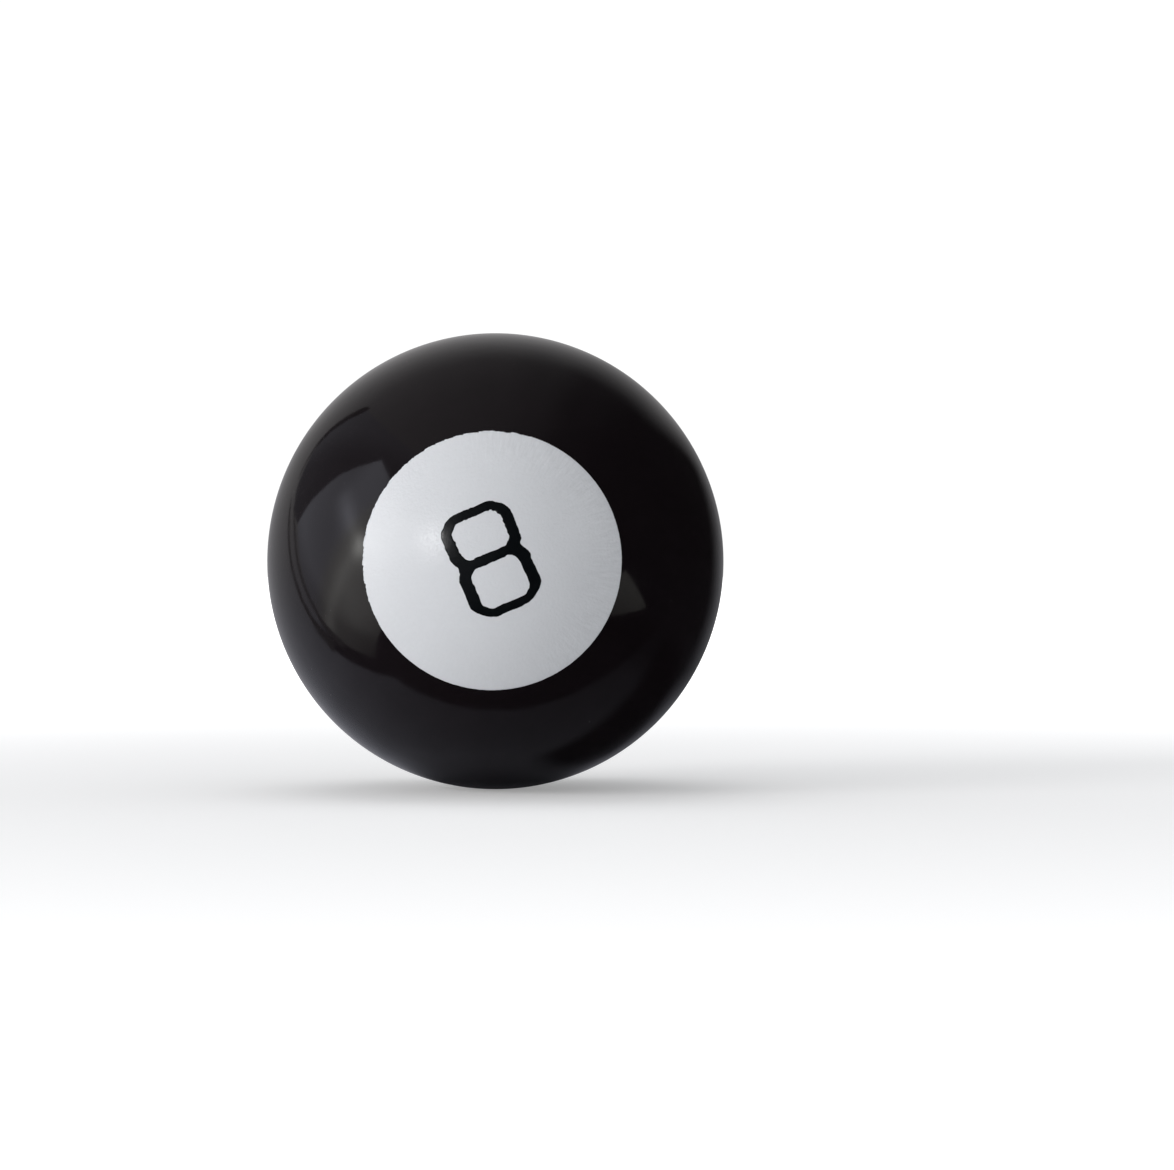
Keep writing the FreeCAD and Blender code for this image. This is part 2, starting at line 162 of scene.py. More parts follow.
def bridge(a, b):
    """Faces between two rings of point numbers.

    Their counts are equal, or one is twice the other, or a ring is a single point.
    """
    na, nb = len(a), len(b)
    if na == nb == 1:
        return []
    if na == 1:
        return [(a[0], b[(k + 1) % nb], b[k]) for k in range(nb)]
    if nb == 1:
        return [(b[0], a[k], a[(k + 1) % na]) for k in range(na)]
    if na == nb:
        return [(a[k], a[(k + 1) % na], b[(k + 1) % na], b[k]) for k in range(na)]
    if na > nb:
        return [tuple(reversed(face)) for face in bridge(b, a)]
    faces = []
    for k in range(na):
        here, after = a[k], a[(k + 1) % na]
        first, middle, last = b[2 * k], b[2 * k + 1], b[(2 * k + 2) % nb]
        faces += [(here, middle, first), (here, after, middle), (after, last, middle)]
    return faces


def lathe(path, full=384):
    """Points and faces of a solid turned about Y from a closed loop of (r, y) points."""
    stations = []
    for (r0, y0), (r1, y1) in zip(path, path[1:] + path[:1]):
        stations.append((r0, y0))
        if r0 <= ON_AXIS and r1 <= ON_AXIS:
            continue
        # extra rings where the count would change by more than one halving
        change = math.log2(ring_count(r0, full) / ring_count(r1, full))
        halvings = abs(int(round(change)))
        if halvings > 1:
            pieces = 4 * halvings
            for s in range(1, pieces):
                t = s / pieces
                stations.append((r0 + (r1 - r0) * t, y0 + (y1 - y0) * t))
    points, rings = [], []
    for r, y in stations:
        start = len(points)
        if r <= ON_AXIS:
            points.append((0.0, y, 0.0))
        else:
            count = ring_count(r, full)
            for k in range(count):
                turn = 2 * math.pi * k / count
                points.append((r * math.sin(turn), y, r * math.cos(turn)))
        rings.append(list(range(start, len(points))))
    faces = []
    for ring, following in zip(rings, rings[1:] + rings[:1]):
        faces += bridge(ring, following)
    return np.array(points), faces


def lathe_object(name, path, full=384):
    points, faces = lathe(path, full)
    return make_solid(name, points, faces)


def soften(path, steps):
    """Rounds the corners of a closed polygon of (r, y, rounding). Corners on the axis stay."""
    out = []
    for i, (r, y, radius) in enumerate(path):
        corner = np.array((r, y), float)
        back = np.array(path[i - 1][:2], float) - corner
        ahead = np.array(path[(i + 1) % len(path)][:2], float) - corner
        back_run, ahead_run = np.linalg.norm(back), np.linalg.norm(ahead)
        if radius <= 0 or r < 1e-9 or back_run < 1e-9 or ahead_run < 1e-9:
            out.append((float(r), float(y)))
            continue
        back, ahead = back / back_run, ahead / ahead_run
        angle = math.acos(max(-1.0, min(1.0, float(back @ ahead))))
        if angle > math.radians(174):
            out.append((float(r), float(y)))
            continue
        cut = min(radius / math.tan(angle / 2), 0.45 * back_run, 0.45 * ahead_run)
        radius = cut * math.tan(angle / 2)
        bisector = (back + ahead) / np.linalg.norm(back + ahead)
        centre = corner + bisector * radius / math.sin(angle / 2)
        # holding rings keep the flats flat in the shading
        if back_run > 6 * cut:
            out.append(tuple((corner + back * (cut * 1.6)).tolist()))
        from_start = corner + back * cut - centre
        from_end = corner + ahead * cut - centre
        t0 = math.atan2(from_start[1], from_start[0])
        t1 = math.atan2(from_end[1], from_end[0])
        sweep = (t1 - t0 + math.pi) % (2 * math.pi) - math.pi
        for k in range(steps + 1):
            t = t0 + sweep * k / steps
            at = (centre[0] + radius * math.cos(t), centre[1] + radius * math.sin(t))
            out.append((float(at[0]), float(at[1])))
        if ahead_run > 6 * cut:
            out.append(tuple((corner + ahead * (cut * 1.6)).tolist()))
    return out


def subdivided(path, longest):
    """The same loop with long straight runs split, so that quads stay well shaped."""
    out = []
    for start, end in zip(path, path[1:] + path[:1]):
        a, b = np.array(start, float), np.array(end, float)
        out.append((float(a[0]), float(a[1])))
        if a[0] < 1e-9 and b[0] < 1e-9:
            continue
        splits = int(np.linalg.norm(b - a) // longest)
        for s in range(1, splits + 1):
            out.append(tuple((a + (b - a) * s / (splits + 1)).tolist()))
    return out


def clean(path, tolerance=1e-4):
    """The loop without repeated points."""

    def apart(p, q):
        return abs(p[0] - q[0]) > tolerance or abs(p[1] - q[1]) > tolerance

    out = []
    for p in path:
        if not out or apart(p, out[-1]):
            out.append((float(p[0]), float(p[1])))
    if not apart(out[0], out[-1]):
        out.pop()
    return out


def arc(centre, radius, start, end, steps, first=0):
    """(r, y) points on an arc between two angles in radians, from step number first."""
    angles = [start + (end - start) * k / steps for k in range(first, steps + 1)]
    r, y = centre
    return [(r + radius * math.cos(t), y + radius * math.sin(t)) for t in angles]


def meridian(radius, start, end, step, tight=()):
    """(r, y) points on a ball's meridian, in degrees above y = 0. tight: the first steps."""
    sign = 1 if end > start else -1
    angles = [start]
    for s in tight:
        angles.append(angles[-1] + sign * s)
    base = angles[-1]
    count = max(1, int(math.ceil(abs(end - base) / step)))
    angles += [base + (end - base) * i / count for i in range(1, count + 1)]
    out = []
    for angle in angles:
        t = math.radians(angle)
        at_pole = abs(abs(angle) - 90) < 1e-6
        out.append((0.0 if at_pole else radius * math.cos(t), radius * math.sin(t)))
    return out


def swept_block(sections, angle_deg):
    """A closed block through sections of four (r, y, side) corners, turned about Y."""
    a = math.radians(angle_deg)
    points = [
        (r * math.cos(a) + side * math.sin(a), y, -r * math.sin(a) + side * math.cos(a))
        for section in sections
        for r, y, side in section
    ]
    last = 4 * (len(sections) - 1)
    faces = []
    for b in range(0, last, 4):
        for i in range(4):
            j = (i + 1) % 4
            faces.append((b + i, b + j, b + 4 + j, b + 4 + i))
    faces += [(3, 2, 1, 0), (last, last + 1, last + 2, last + 3)]
    return np.array(points), faces


def union(base, parts, name):
    """base fused with closed part meshes by an exact boolean, as one object."""
    points, faces, count = [], [], 0
    for part_points, part_faces in parts:
        part_faces = turned_out(part_points, part_faces)
        points.append(part_points)
        faces += [tuple(i + count for i in face) for face in part_faces]
        count += len(part_points)
    tool = make_solid(name + "_tool", np.concatenate(points), faces)
    fuse = base.modifiers.new("fuse", "BOOLEAN")
    fuse.operation = "UNION"
    fuse.solver = "EXACT"
    fuse.use_self = False
    fuse.object = tool
    graph = bpy.context.evaluated_depsgraph_get()
    mesh = bpy.data.meshes.new_from_object(base.evaluated_get(graph), depsgraph=graph)
    bpy.data.objects.remove(tool)
    bpy.data.objects.remove(base)
    mark_sharp(mesh, 35.0)
    ob = bpy.data.objects.new(name, mesh)
    scene.collection.objects.link(ob)
    return ob


# ---- node helpers ----------------------------------------------------------------------------


class Value:
    """An output in a node tree, so that node maths reads as arithmetic."""

    def __init__(self, graph, socket):
        self.graph, self.socket = graph, socket

    def __add__(self, other):
        return self.graph.math("ADD", self, other)

    __radd__ = __add__

    def __sub__(self, other):
        return self.graph.math("SUBTRACT", self, other)

    def __rsub__(self, other):
        return self.graph.math("SUBTRACT", other, self)

    def __mul__(self, other):
        return self.graph.math("MULTIPLY", self, other)

    __rmul__ = __mul__

    def __truediv__(self, other):
        return self.graph.math("DIVIDE", self, other)

    def __rtruediv__(self, other):
        return self.graph.math("DIVIDE", other, self)

    def __neg__(self):
        return self.graph.math("MULTIPLY", self, -1.0)

    def __abs__(self):
        return self.graph.math("ABSOLUTE", self)

    def swing(self, amount):
        """A 0..1 value centred on zero, times an amount."""
        return (self - 0.5) * amount


class Graph:
    """A node tree under construction. Colours are (r, g, b)."""

    def __init__(self, tree):
        self.tree = tree
        tree.nodes.clear()

    def put(self, value, socket):
        if isinstance(value, Value):
            self.tree.links.new(value.socket, socket)
        elif isinstance(value, tuple) and socket.type == "RGBA":
            socket.default_value = (*value, 1.0)
        else:
            socket.default_value = value

    def outputs(self, kind, inputs, keys, **props):
        """A new node's outputs by key, after its properties and inputs are set."""
        made = self.tree.nodes.new(kind)
        for name, value in props.items():
            setattr(made, name, value)
        for key, value in inputs.items():
            self.put(value, made.inputs[key])
        return [Value(self, made.outputs[key]) for key in keys]

    def node(self, kind, inputs, output=0, **props):
        return self.outputs(kind, inputs, [output], **props)[0]

    def math(self, operation, *values, clamp=False):
        inputs = dict(enumerate(values))
        return self.node("ShaderNodeMath", inputs, operation=operation, use_clamp=clamp)

    def maximum(self, a, b):
        return self.math("MAXIMUM", a, b)

    def length(self, a, b):
        return self.math("SQRT", a * a + b * b)

    def ease(self, x, over, to=(0.0, 1.0), kind="SMOOTHSTEP"):
        """x over a rising range turned into the values to, and held beyond its ends."""
        inputs = dict(enumerate((x, *over, *to)))
        return self.node("ShaderNodeMapRange", inputs, interpolation_type=kind, clamp=True)

    def line(self, pattern, width):
        """1 where a pattern crosses its middle value, fading to 0 over a width."""
        return self.ease(abs(pattern - 0.5), over=(0.0, width), to=(1.0, 0.0))

    def scaled(self, vector, by):
        inputs = {0: vector, "Scale": by}
        return self.node("ShaderNodeVectorMath", inputs, operation="SCALE")

    def place(self):
        """The shaded point in the object's frame, in metres."""
        return self.node("ShaderNodeTexCoord", {}, "Object")

    def place_mm(self):
        return self.scaled(self.place(), 1000.0)

    def split(self, vector):
        return self.outputs("ShaderNodeSeparateXYZ", {0: vector}, range(3))

    def vector(self, x, y, z):
        return self.node("ShaderNodeCombineXYZ", {0: x, 1: y, 2: z})

    def stretched(self, vector, turn, scale):
        inputs = {"Vector": vector, "Rotation": turn, "Scale": scale}
        return self.node("ShaderNodeMapping", inputs, vector_type="POINT")

    def noise(self, vector, scale, detail=2.0, rough=0.5, distort=0.0):
        """Noise from 0 to 1. For a point in millimetres, scale is per millimetre."""
        inputs = {"Vector": vector, "Scale": scale, "Detail": detail}
        inputs.update({"Roughness": rough, "Distortion": distort})
        return self.node("ShaderNodeTexNoise", inputs)

    def cells(self, vector, scale, keys=("Distance",)):
        """Scattered cells: distance to the nearest centre, or its random colour."""
        inputs = {"Vector": vector, "Scale": scale}
        return self.outputs("ShaderNodeTexVoronoi", inputs, keys)

    def mix(self, factor, a, b):
        props = {"data_type": "RGBA", "blend_type": "MIX", "clamp_factor": True}
        return self.node("ShaderNodeMix", {0: factor, 6: a, 7: b}, 2, **props)

    def bump(self, height, strength, depth_mm, over=None):
        """A bumped normal, on top of another one if given."""
        inputs = {"Strength": strength, "Distance": depth_mm * MM, "Height": height}
        if over is not None:
            inputs["Normal"] = over
        return self.node("ShaderNodeBump", inputs)

    def emission(self, colour, strength):
        return self.node("ShaderNodeEmission", {0: colour, 1: strength})

    def background(self, colour, strength):
        return self.node("ShaderNodeBackground", {0: colour, 1: strength})

    def transparent(self, colour):
        return self.node("ShaderNodeBsdfTransparent", {0: colour})

    def mix_shaders(self, factor, a, b):
        return self.node("ShaderNodeMixShader", {0: factor, 1: a, 2: b})

    def surface(self, shader, volume=None):
        out = self.tree.nodes.new("ShaderNodeOutputMaterial")
        self.put(shader, out.inputs["Surface"])
        if volume is not None:
            self.put(volume, out.inputs["Volume"])

    def plastic(self, colour, rough, ior, normal, specular=0.5):
        """Ends the material with a principled surface."""
        inputs = {"Base Color": colour, "Roughness": rough, "IOR": ior, "Normal": normal}
        inputs["Specular IOR Level"] = specular
        self.surface(self.node("ShaderNodeBsdfPrincipled", inputs))


def material(name):
    mat = bpy.data.materials.new(name)
    mat.use_nodes = True
    return mat, Graph(mat.node_tree)


def give(ob, mat):
    """Puts a material in every slot of a CAD node, or as the only one on a fine mesh."""
    if "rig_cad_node" not in ob:
        ob.data.materials.clear()
        ob.data.materials.append(mat)
        return
    if not ob.material_slots:
        ob.data.materials.append(mat)
    for slot in ob.material_slots:
        slot.material = mat


# ---- materials -------------------------------------------------------------------------------


def scratches(g, point, scale, threshold, turn):
    """0..1 mask of short hairlines in one direction, where a broad noise passes a threshold."""
    long_way = scale * 0.06
    along_it = g.stretched(point, turn=turn, scale=(scale, long_way, long_way))
    line = g.line(g.noise(along_it, scale=1.0, detail=1.0, distort=0.15), width=0.006)
    broad = g.noise(point, scale=0.45)
    return line * g.ease(broad, over=(threshold, threshold + 0.08))


def black_shell_material():
    mat, g = material("gloss_black_moulded")
    point = g.place_mm()
    _, y, _ = g.split(point)
    patches = g.noise(point, scale=0.22, detail=3.0, rough=0.55)
    grain = g.noise(point, scale=9.0)
    handled = g.noise(point, scale=0.5, detail=4.0, rough=0.6, distort=0.6)
    scratch = scratches(g, point, scale=6.0, threshold=0.55, turn=(0.4, 0.9, 0.2))
    scratch = scratch + scratches(g, point, scale=5.0, threshold=0.60, turn=(1.3, 0.2, 0.8))
    # dust: small dots at the centres of some of the cells
    distance, chance = g.cells(point, scale=0.62, keys=("Distance", "Color"))
    dust = g.ease(distance, over=(0.018, 0.030), to=(1.0, 0.0))
    chosen_above = 0.62
    dust = dust * g.math("GREATER_THAN", g.split(chance)[0], chosen_above)
    # a hair of extra polish wear along the seam at y = 0
    seam = g.ease(abs(y), over=(0.05, 0.55), to=(1.0, 0.0))
    colour = g.mix(patches, (0.0060, 0.0043, 0.0052), (0.0088, 0.0062, 0.0075))
    dust_cover, scratch_cover = 0.8, 0.10
    colour = g.mix(dust * dust_cover, colour, (0.10, 0.10, 0.10))
    colour = g.mix(scratch * scratch_cover, colour, (0.05, 0.05, 0.055))
    # roughness added by grain, scratches, dust and seam wear
    rough = g.ease(handled, over=(0.35, 0.75), to=(0.060, 0.105))
    rough = rough + grain * 0.012 + scratch * 0.10 + dust * 0.4 + seam * 0.03
    # orange peel of a moulding: low swells about 1.5 mm across, weight 1, and a finer ripple
    swell = g.noise(point, scale=0.65, detail=1.0, rough=0.4)
    ripple = g.noise(point, scale=2.6, detail=1.0, rough=0.4)
    normal = g.bump(swell * 1.0 + ripple * 0.10, strength=0.55, depth_mm=0.012)
    scratch_depth = 0.3
    marks = dust - scratch * scratch_depth
    normal = g.bump(marks, strength=0.25, depth_mm=0.004, over=normal)
    g.plastic(colour, rough, ior=1.5, normal=normal)
    return mat


def white_print_material():
    mat, g = material("white_pad_print")
    point = g.place_mm()
    x, _, z = g.split(point)
    radius = g.length(x, z)
    inverse = 1.0 / g.maximum(radius, 0.05)
    right, up = x * inverse, z * inverse

    def streaks(around, outward, detail, rough):
        """Radial streaks: fine round the spot, long from its centre outwards."""
        place = g.vector(right * around, radius * outward, up * around)
        return g.noise(place, scale=1.0, detail=detail, rough=rough)

    streak = streaks(around=44.0, outward=0.85, detail=2.0, rough=0.6)
    fine_streak = streaks(around=84.0, outward=1.9, detail=1.0, rough=0.5)
    # streaks lie near the rim, strongest from the top round the right to the lower right
    rim = g.ease(radius, over=(6.2, 9.2))
    side = g.ease(right * 0.95 + up * 0.30, over=(-0.15, 0.55))
    everywhere, added_at_side = 0.18, 0.82
    amount = rim * (everywhere + side * added_at_side)
    grain = g.noise(point, scale=3.2, detail=3.0, rough=0.6)
    patch = g.noise(point, scale=0.28)
    # a few slightly longer diagonal strokes at the upper right
    turn = (0.0, math.radians(38), 0.0)
    slanted = g.stretched(point, turn=turn, scale=(0.42, 0.42, 3.4))
    stroke = g.line(g.noise(slanted, scale=1.0, detail=1.0), width=0.014)
    stroke = stroke * g.ease(x, over=(2.4, 4.2)) * g.ease(z, over=(0.8, 2.6))
    stroke = stroke * g.ease(g.noise(point, scale=0.6, detail=1.0), over=(0.46, 0.58))
    # brightness about 1, with the share of each pattern
    tone = 1.0 + grain.swing(0.050) + patch.swing(0.035)
    tone = tone + streak.swing(amount) * 0.200 + fine_streak.swing(amount) * 0.085
    tone = tone - stroke * 0.048
    edge = g.ease(radius, over=(SPOT_R - 0.30, SPOT_R + 0.02))
    edge_cover = 0.35
    colour = g.mix(edge * edge_cover, (0.790, 0.806, 0.835), (0.70, 0.72, 0.76))
    colour = g.scaled(colour, by=tone)
    # roughness about 0.225, with the shares of grain and streaks
    rough = 0.225 + grain.swing(0.10) + streak.swing(amount) * 0.16
    # height: each pattern with its weight
    height = grain * 0.55 + g.noise(point, scale=1.7, rough=0.6) * 0.7
    height = height + streak.swing(amount) * 1.4 + stroke * 0.4
    height = height + g.noise(point, scale=0.9) * 0.8
    normal = g.bump(height, strength=0.35, depth_mm=0.010)
    # tiny bright and dull points of dried ink
    ink_points = g.noise(point, scale=4.6, detail=1.0)
    normal = g.bump(ink_points, strength=0.74, depth_mm=0.034, over=normal)
    g.plastic(colour, rough, ior=1.47, normal=normal)
    return mat


def black_print_material():
    mat, g = material("black_pad_print")
    point = g.place_mm()
    grain = g.noise(point, scale=5.0, detail=3.0, rough=0.6)
    wave = g.noise(point, scale=1.4)
    colour = g.mix(wave, (0.0022, 0.0032, 0.0042), (0.0048, 0.0062, 0.0076))
    rough = 0.215 + grain.swing(0.12)
    grain_height = 0.6
    normal = g.bump(grain * grain_height + wave, strength=0.40, depth_mm=0.010)
    g.plastic(colour, rough, ior=1.47, normal=normal, specular=0.46)
    return mat


def clear_material():
    mat, g = material("clear_vial_plastic")
    point = g.place_mm()
    x, y, z = g.split(point)
    # the wet inner faces barely reflect, because plastic and filling bend light nearly alike
    outer = g.ease(y, over=(14.6, 15.2))
    dry = g.maximum(outer, g.ease(g.length(x, z), over=(11.95, 12.3)))
    scratch = scratches(g, point, scale=5.0, threshold=0.52, turn=(0.3, 1.1, 0.4))
    scratch = scratch + scratches(g, point, scale=4.0, threshold=0.56, turn=(1.5, 0.3, 0.5))
    haze = g.noise(point, scale=0.7, detail=3.0)
    scratch_height = 0.2
    height = g.noise(point, scale=0.5, detail=1.0) + scratch * scratch_height
    normal = g.bump(height, strength=0.35, depth_mm=0.010)
    # roughness: a base, and what haze and scratches add
    rough = 0.03 + haze * 0.03 + scratch * 0.12
    gloss = g.node("ShaderNodeBsdfGlossy", {"Roughness": rough, "Normal": normal})
    clear = g.transparent(g.mix(haze, (0.985, 0.99, 0.99), (0.965, 0.975, 0.98)))
    fresnel = g.node("ShaderNodeFresnel", {"IOR": 1.49, "Normal": normal})
    scratch_shine = 0.03
    reflect = fresnel * g.ease(dry, over=(0.0, 1.0), to=(0.06, 1.0), kind="LINEAR")
    reflect = reflect + scratch * outer * scratch_shine
    g.surface(g.mix_shaders(reflect, clear, gloss))
    return mat


def liquid_material():
    mat, g = material("dark_blue_filling")
    cloud = g.noise(g.place_mm(), scale=0.35)
    clear = g.transparent(g.mix(cloud, (0.93, 0.96, 1.0), (0.86, 0.91, 0.98)))
    dye = {"Color": (0.03, 0.34, 0.80), "Density": 5200.0}
    g.surface(clear, g.node("ShaderNodeVolumeAbsorption", dye))
    return mat


def die_material():
    mat, g = material("white_die_plastic")
    point = g.place_mm()
    grain = g.noise(point, scale=4.0, detail=3.0, rough=0.6)
    patch = g.noise(point, scale=0.5)
    colour = g.mix(patch, (0.80, 0.81, 0.80), (0.72, 0.74, 0.75))
    colour = g.scaled(colour, by=1.0 + grain.swing(0.05))
    normal = g.bump(grain, strength=0.3, depth_mm=0.01)
    g.plastic(colour, rough=0.38 + grain.swing(0.1), ior=1.49, normal=normal)
    return mat


def rubber_material():
    mat, g = material("soft_seal_rubber")
    point = g.place_mm()
    grain = g.noise(point, scale=12.0, detail=3.0, rough=0.65)
    bloom = g.noise(point, scale=0.8, detail=3.0, rough=0.6)
    colour = g.mix(bloom, (0.010, 0.010, 0.011), (0.026, 0.026, 0.028))
    normal = g.bump(grain, strength=0.5, depth_mm=0.01)
    g.plastic(colour, rough=0.62 + grain.swing(0.2), ior=1.52, normal=normal)
    return mat


def foam_material():
    mat, g = material("pad_foam")
    point = g.place_mm()
    pore = g.ease(g.cells(point, scale=3.2)[0], over=(0.05, 0.45))
    fine = g.noise(point, scale=7.0, detail=3.0)
    colour = g.mix(pore, (0.05, 0.052, 0.055), (0.20, 0.205, 0.21))
    colour = g.scaled(colour, by=0.9 + fine * 0.2)
    fine_height = 0.3
    normal = g.bump(pore + fine * fine_height, strength=0.8, depth_mm=0.12)
    g.plastic(colour, rough=0.92, ior=1.4, normal=normal)
    return mat


def cap_material():
    mat, g = material("grey_cap_plastic")
    point = g.place_mm()
    x, y, z = g.split(point)
    rings_per_mm = 9.0  # in radians: faint tool rings on the mould's face
    turned = g.math("SINE", g.length(x, z) * rings_per_mm)
    grain = g.noise(point, scale=5.0, detail=3.0, rough=0.6)
    broad = 0.3  # widens the flow marks
    wide = g.vector(x * broad, y * broad, z * broad)
    flow = g.noise(wide, scale=1.0, detail=4.0, rough=0.55, distort=1.5)
    colour = g.mix(flow, (0.16, 0.165, 0.175), (0.23, 0.235, 0.245))
    colour = g.scaled(colour, by=0.97 + grain * 0.06)
    grain_height, ring_height = 0.6, 0.15
    height = grain * grain_height + turned * ring_height
    normal = g.bump(height, strength=0.35, depth_mm=0.02)
    g.plastic(colour, rough=0.36 + grain * 0.1, ior=1.5, normal=normal)
    return mat


def funnel_material():
    mat, g = material("natural_funnel_plastic")
    point = g.place_mm()
    grain = g.noise(point, scale=4.0, detail=3.0, rough=0.6)
    flow = g.noise(point, scale=0.35, detail=3.0, distort=1.0)
    colour = g.mix(flow, (0.66, 0.68, 0.70), (0.54, 0.57, 0.62))
    normal = g.bump(grain, strength=0.3, depth_mm=0.02)
    g.plastic(colour, rough=0.42 + grain.swing(0.1), ior=1.49, normal=normal)
    return mat


def cement_material():
    mat, g = material("seam_cement")
    lump = g.noise(g.place_mm(), scale=2.2, detail=3.0, rough=0.6)
    colour = g.mix(lump, (0.05, 0.05, 0.052), (0.12, 0.118, 0.11))
    normal = g.bump(lump, strength=0.6, depth_mm=0.06)
    g.plastic(colour, rough=0.30 + lump * 0.2, ior=1.5, normal=normal)
    return mat


# ---- shells ----------------------------------------------------------------------------------

SEAM_ROUNDING = 0.09
SEAM_FACE_R = 18.70  # where the front shell's flat seam face begins
OUTER_STEP, INNER_STEP = 1.1, 2.4  # degrees between rings on the ball's faces
SEAM_STEPS = (0.08, 0.16, 0.3, 0.6)  # degrees, closer rings next to the seam
ROOT_R = INSIDE_R + 0.4  # ribs and collar reach this far into the wall
RIB_ANGLES = [60.0 * i + 30.0 for i in range(6)]
RIB_THICK = 1.0
RIB_STEPS = 8
SIDE_RIB_R = 13.15
SIDE_RIB_Y = (1.6, 8.8)  # distance from the seam
COLLAR_R = 10.20
PAD_COLLAR_BORE_R, PAD_COLLAR_Y = 8.90, -12.10
FLOOR_RIB_R, FLOOR_RIB_Y = 9.8, -12.20

# Cross-sections at the seam: r, y, rounding
TONGUE = [
    (18.05, 0.0, 0.0), (18.05, 0.90, 0.13), (18.55, 0.90, 0.13), (18.55, 0.0, 0.05),
    (18.60, 0.0, 0.0),
]
GROOVE = [
    (INSIDE_R + 0.02, 0.0, 0.0), (17.98, 0.0, 0.05), (17.98, 1.10, 0.06),
    (18.62, 1.10, 0.06), (18.62, 0.0, 0.05), (18.68, 0.0, 0.0),
]

# The rear shell's opening
SHOULDER_ROUNDING = 0.42
FOOT_INNER_R = 8.98
OPENING_R = 8.75
REAR_COLLAR_Y = 13.10
COLLAR_ROUNDING = 0.08


def seam_edge(sign):
    """The outer seam edge, from the seam face outwards. sign is -1 for the front shell.

    Also returns the angle in degrees at which it meets the ball.
    """
    centre = (
        math.sqrt((BALL_R - SEAM_ROUNDING) ** 2 - SEAM_ROUNDING**2),
        sign * SEAM_ROUNDING,
    )
    end = math.atan2(centre[1], centre[0])
    points = arc(centre, SEAM_ROUNDING, -sign * math.pi / 2, end, steps=5)
    return points, math.degrees(end)


def side_rib(y0, y1, angle):
    """A rib whose outer edge follows the wall, between two y places."""
    half = RIB_THICK / 2
    sections = []
    for k in range(RIB_STEPS + 1):
        y = y0 + (y1 - y0) * k / RIB_STEPS
        top = math.sqrt(max(ROOT_R * ROOT_R - y * y, 0.01))
        corners = ((SIDE_RIB_R, -half), (top, -half), (top, half), (SIDE_RIB_R, half))
        sections.append([(r, y, side) for r, side in corners])
    return swept_block(sections, angle)


def floor_rib(angle):
    """A rib that runs outwards from the front shell's collar along the wall's inside."""
    half = RIB_THICK / 2
    end_r = math.sqrt(ROOT_R**2 - FLOOR_RIB_Y**2) - 0.02
    sections = []
    for k in range(RIB_STEPS + 1):
        r = FLOOR_RIB_R + (end_r - FLOOR_RIB_R) * k / RIB_STEPS
        low = -math.sqrt(ROOT_R**2 - r**2)
        corners = ((low, -half), (FLOOR_RIB_Y, -half), (FLOOR_RIB_Y, half), (low, half))
        sections.append([(r, y, side) for y, side in corners])
    return swept_block(sections, angle)


def pad_collar():
    """The collar that carries the pad, as a ring reaching into the wall."""
    path = [
        (PAD_COLLAR_BORE_R, PAD_COLLAR_Y, COLLAR_ROUNDING),
        (COLLAR_R, PAD_COLLAR_Y, COLLAR_ROUNDING),
        (COLLAR_R, -math.sqrt(ROOT_R**2 - COLLAR_R**2), 0.0),
        (PAD_COLLAR_BORE_R, -math.sqrt(ROOT_R**2 - PAD_COLLAR_BORE_R**2), 0.0),
    ]
    return lathe(subdivided(soften(path, 3), 0.8), 192)


def build_front_shell():
    edge, angle = seam_edge(-1)
    outer = meridian(BALL_R, angle, -90.0, OUTER_STEP, tight=SEAM_STEPS)[1:]
    inner = meridian(INSIDE_R, -90.0, 0.0, INNER_STEP)
    path = [(SEAM_FACE_R, 0.0)] + edge + outer + inner + soften(TONGUE, 4)
    wall = lathe_object("front_shell_wall", clean(path))
    near, far = SIDE_RIB_Y
    parts = [pad_collar()] + [side_rib(-far, -near, angle) for angle in RIB_ANGLES]
    shell = union(wall, parts, "front_shell_visual")
    return union(shell, [floor_rib(angle) for angle in RIB_ANGLES], "front_shell_visual")


def opening_profile():
    """(r, y) points from the foot's inner edge down the opening and across the collar."""
    quarter = math.pi / 2
    lip = FOOT_INNER_R - OPENING_R
    small = COLLAR_ROUNDING
    path = [(FOOT_INNER_R + 0.06, FOOT_Y), (FOOT_INNER_R, FOOT_Y)]
    path += arc((FOOT_INNER_R, FOOT_Y - lip), lip, quarter, 2 * quarter, steps=5, first=1)
    path += [(OPENING_R, y) for y in (FOOT_Y - lip - 0.08, FOOT_Y - 0.9, FOOT_Y - 1.8)]
    path += [(OPENING_R, REAR_COLLAR_Y + rise) for rise in (2 * small, small)]
    centre = (OPENING_R + small, REAR_COLLAR_Y + small)
    path += arc(centre, small, 2 * quarter, 3 * quarter, steps=3, first=1)
    path += [(OPENING_R + 0.5, REAR_COLLAR_Y), (COLLAR_R - small, REAR_COLLAR_Y)]
    centre = (COLLAR_R - small, REAR_COLLAR_Y + small)
    path += arc(centre, small, 3 * quarter, 4 * quarter, steps=3, first=1)
    return path


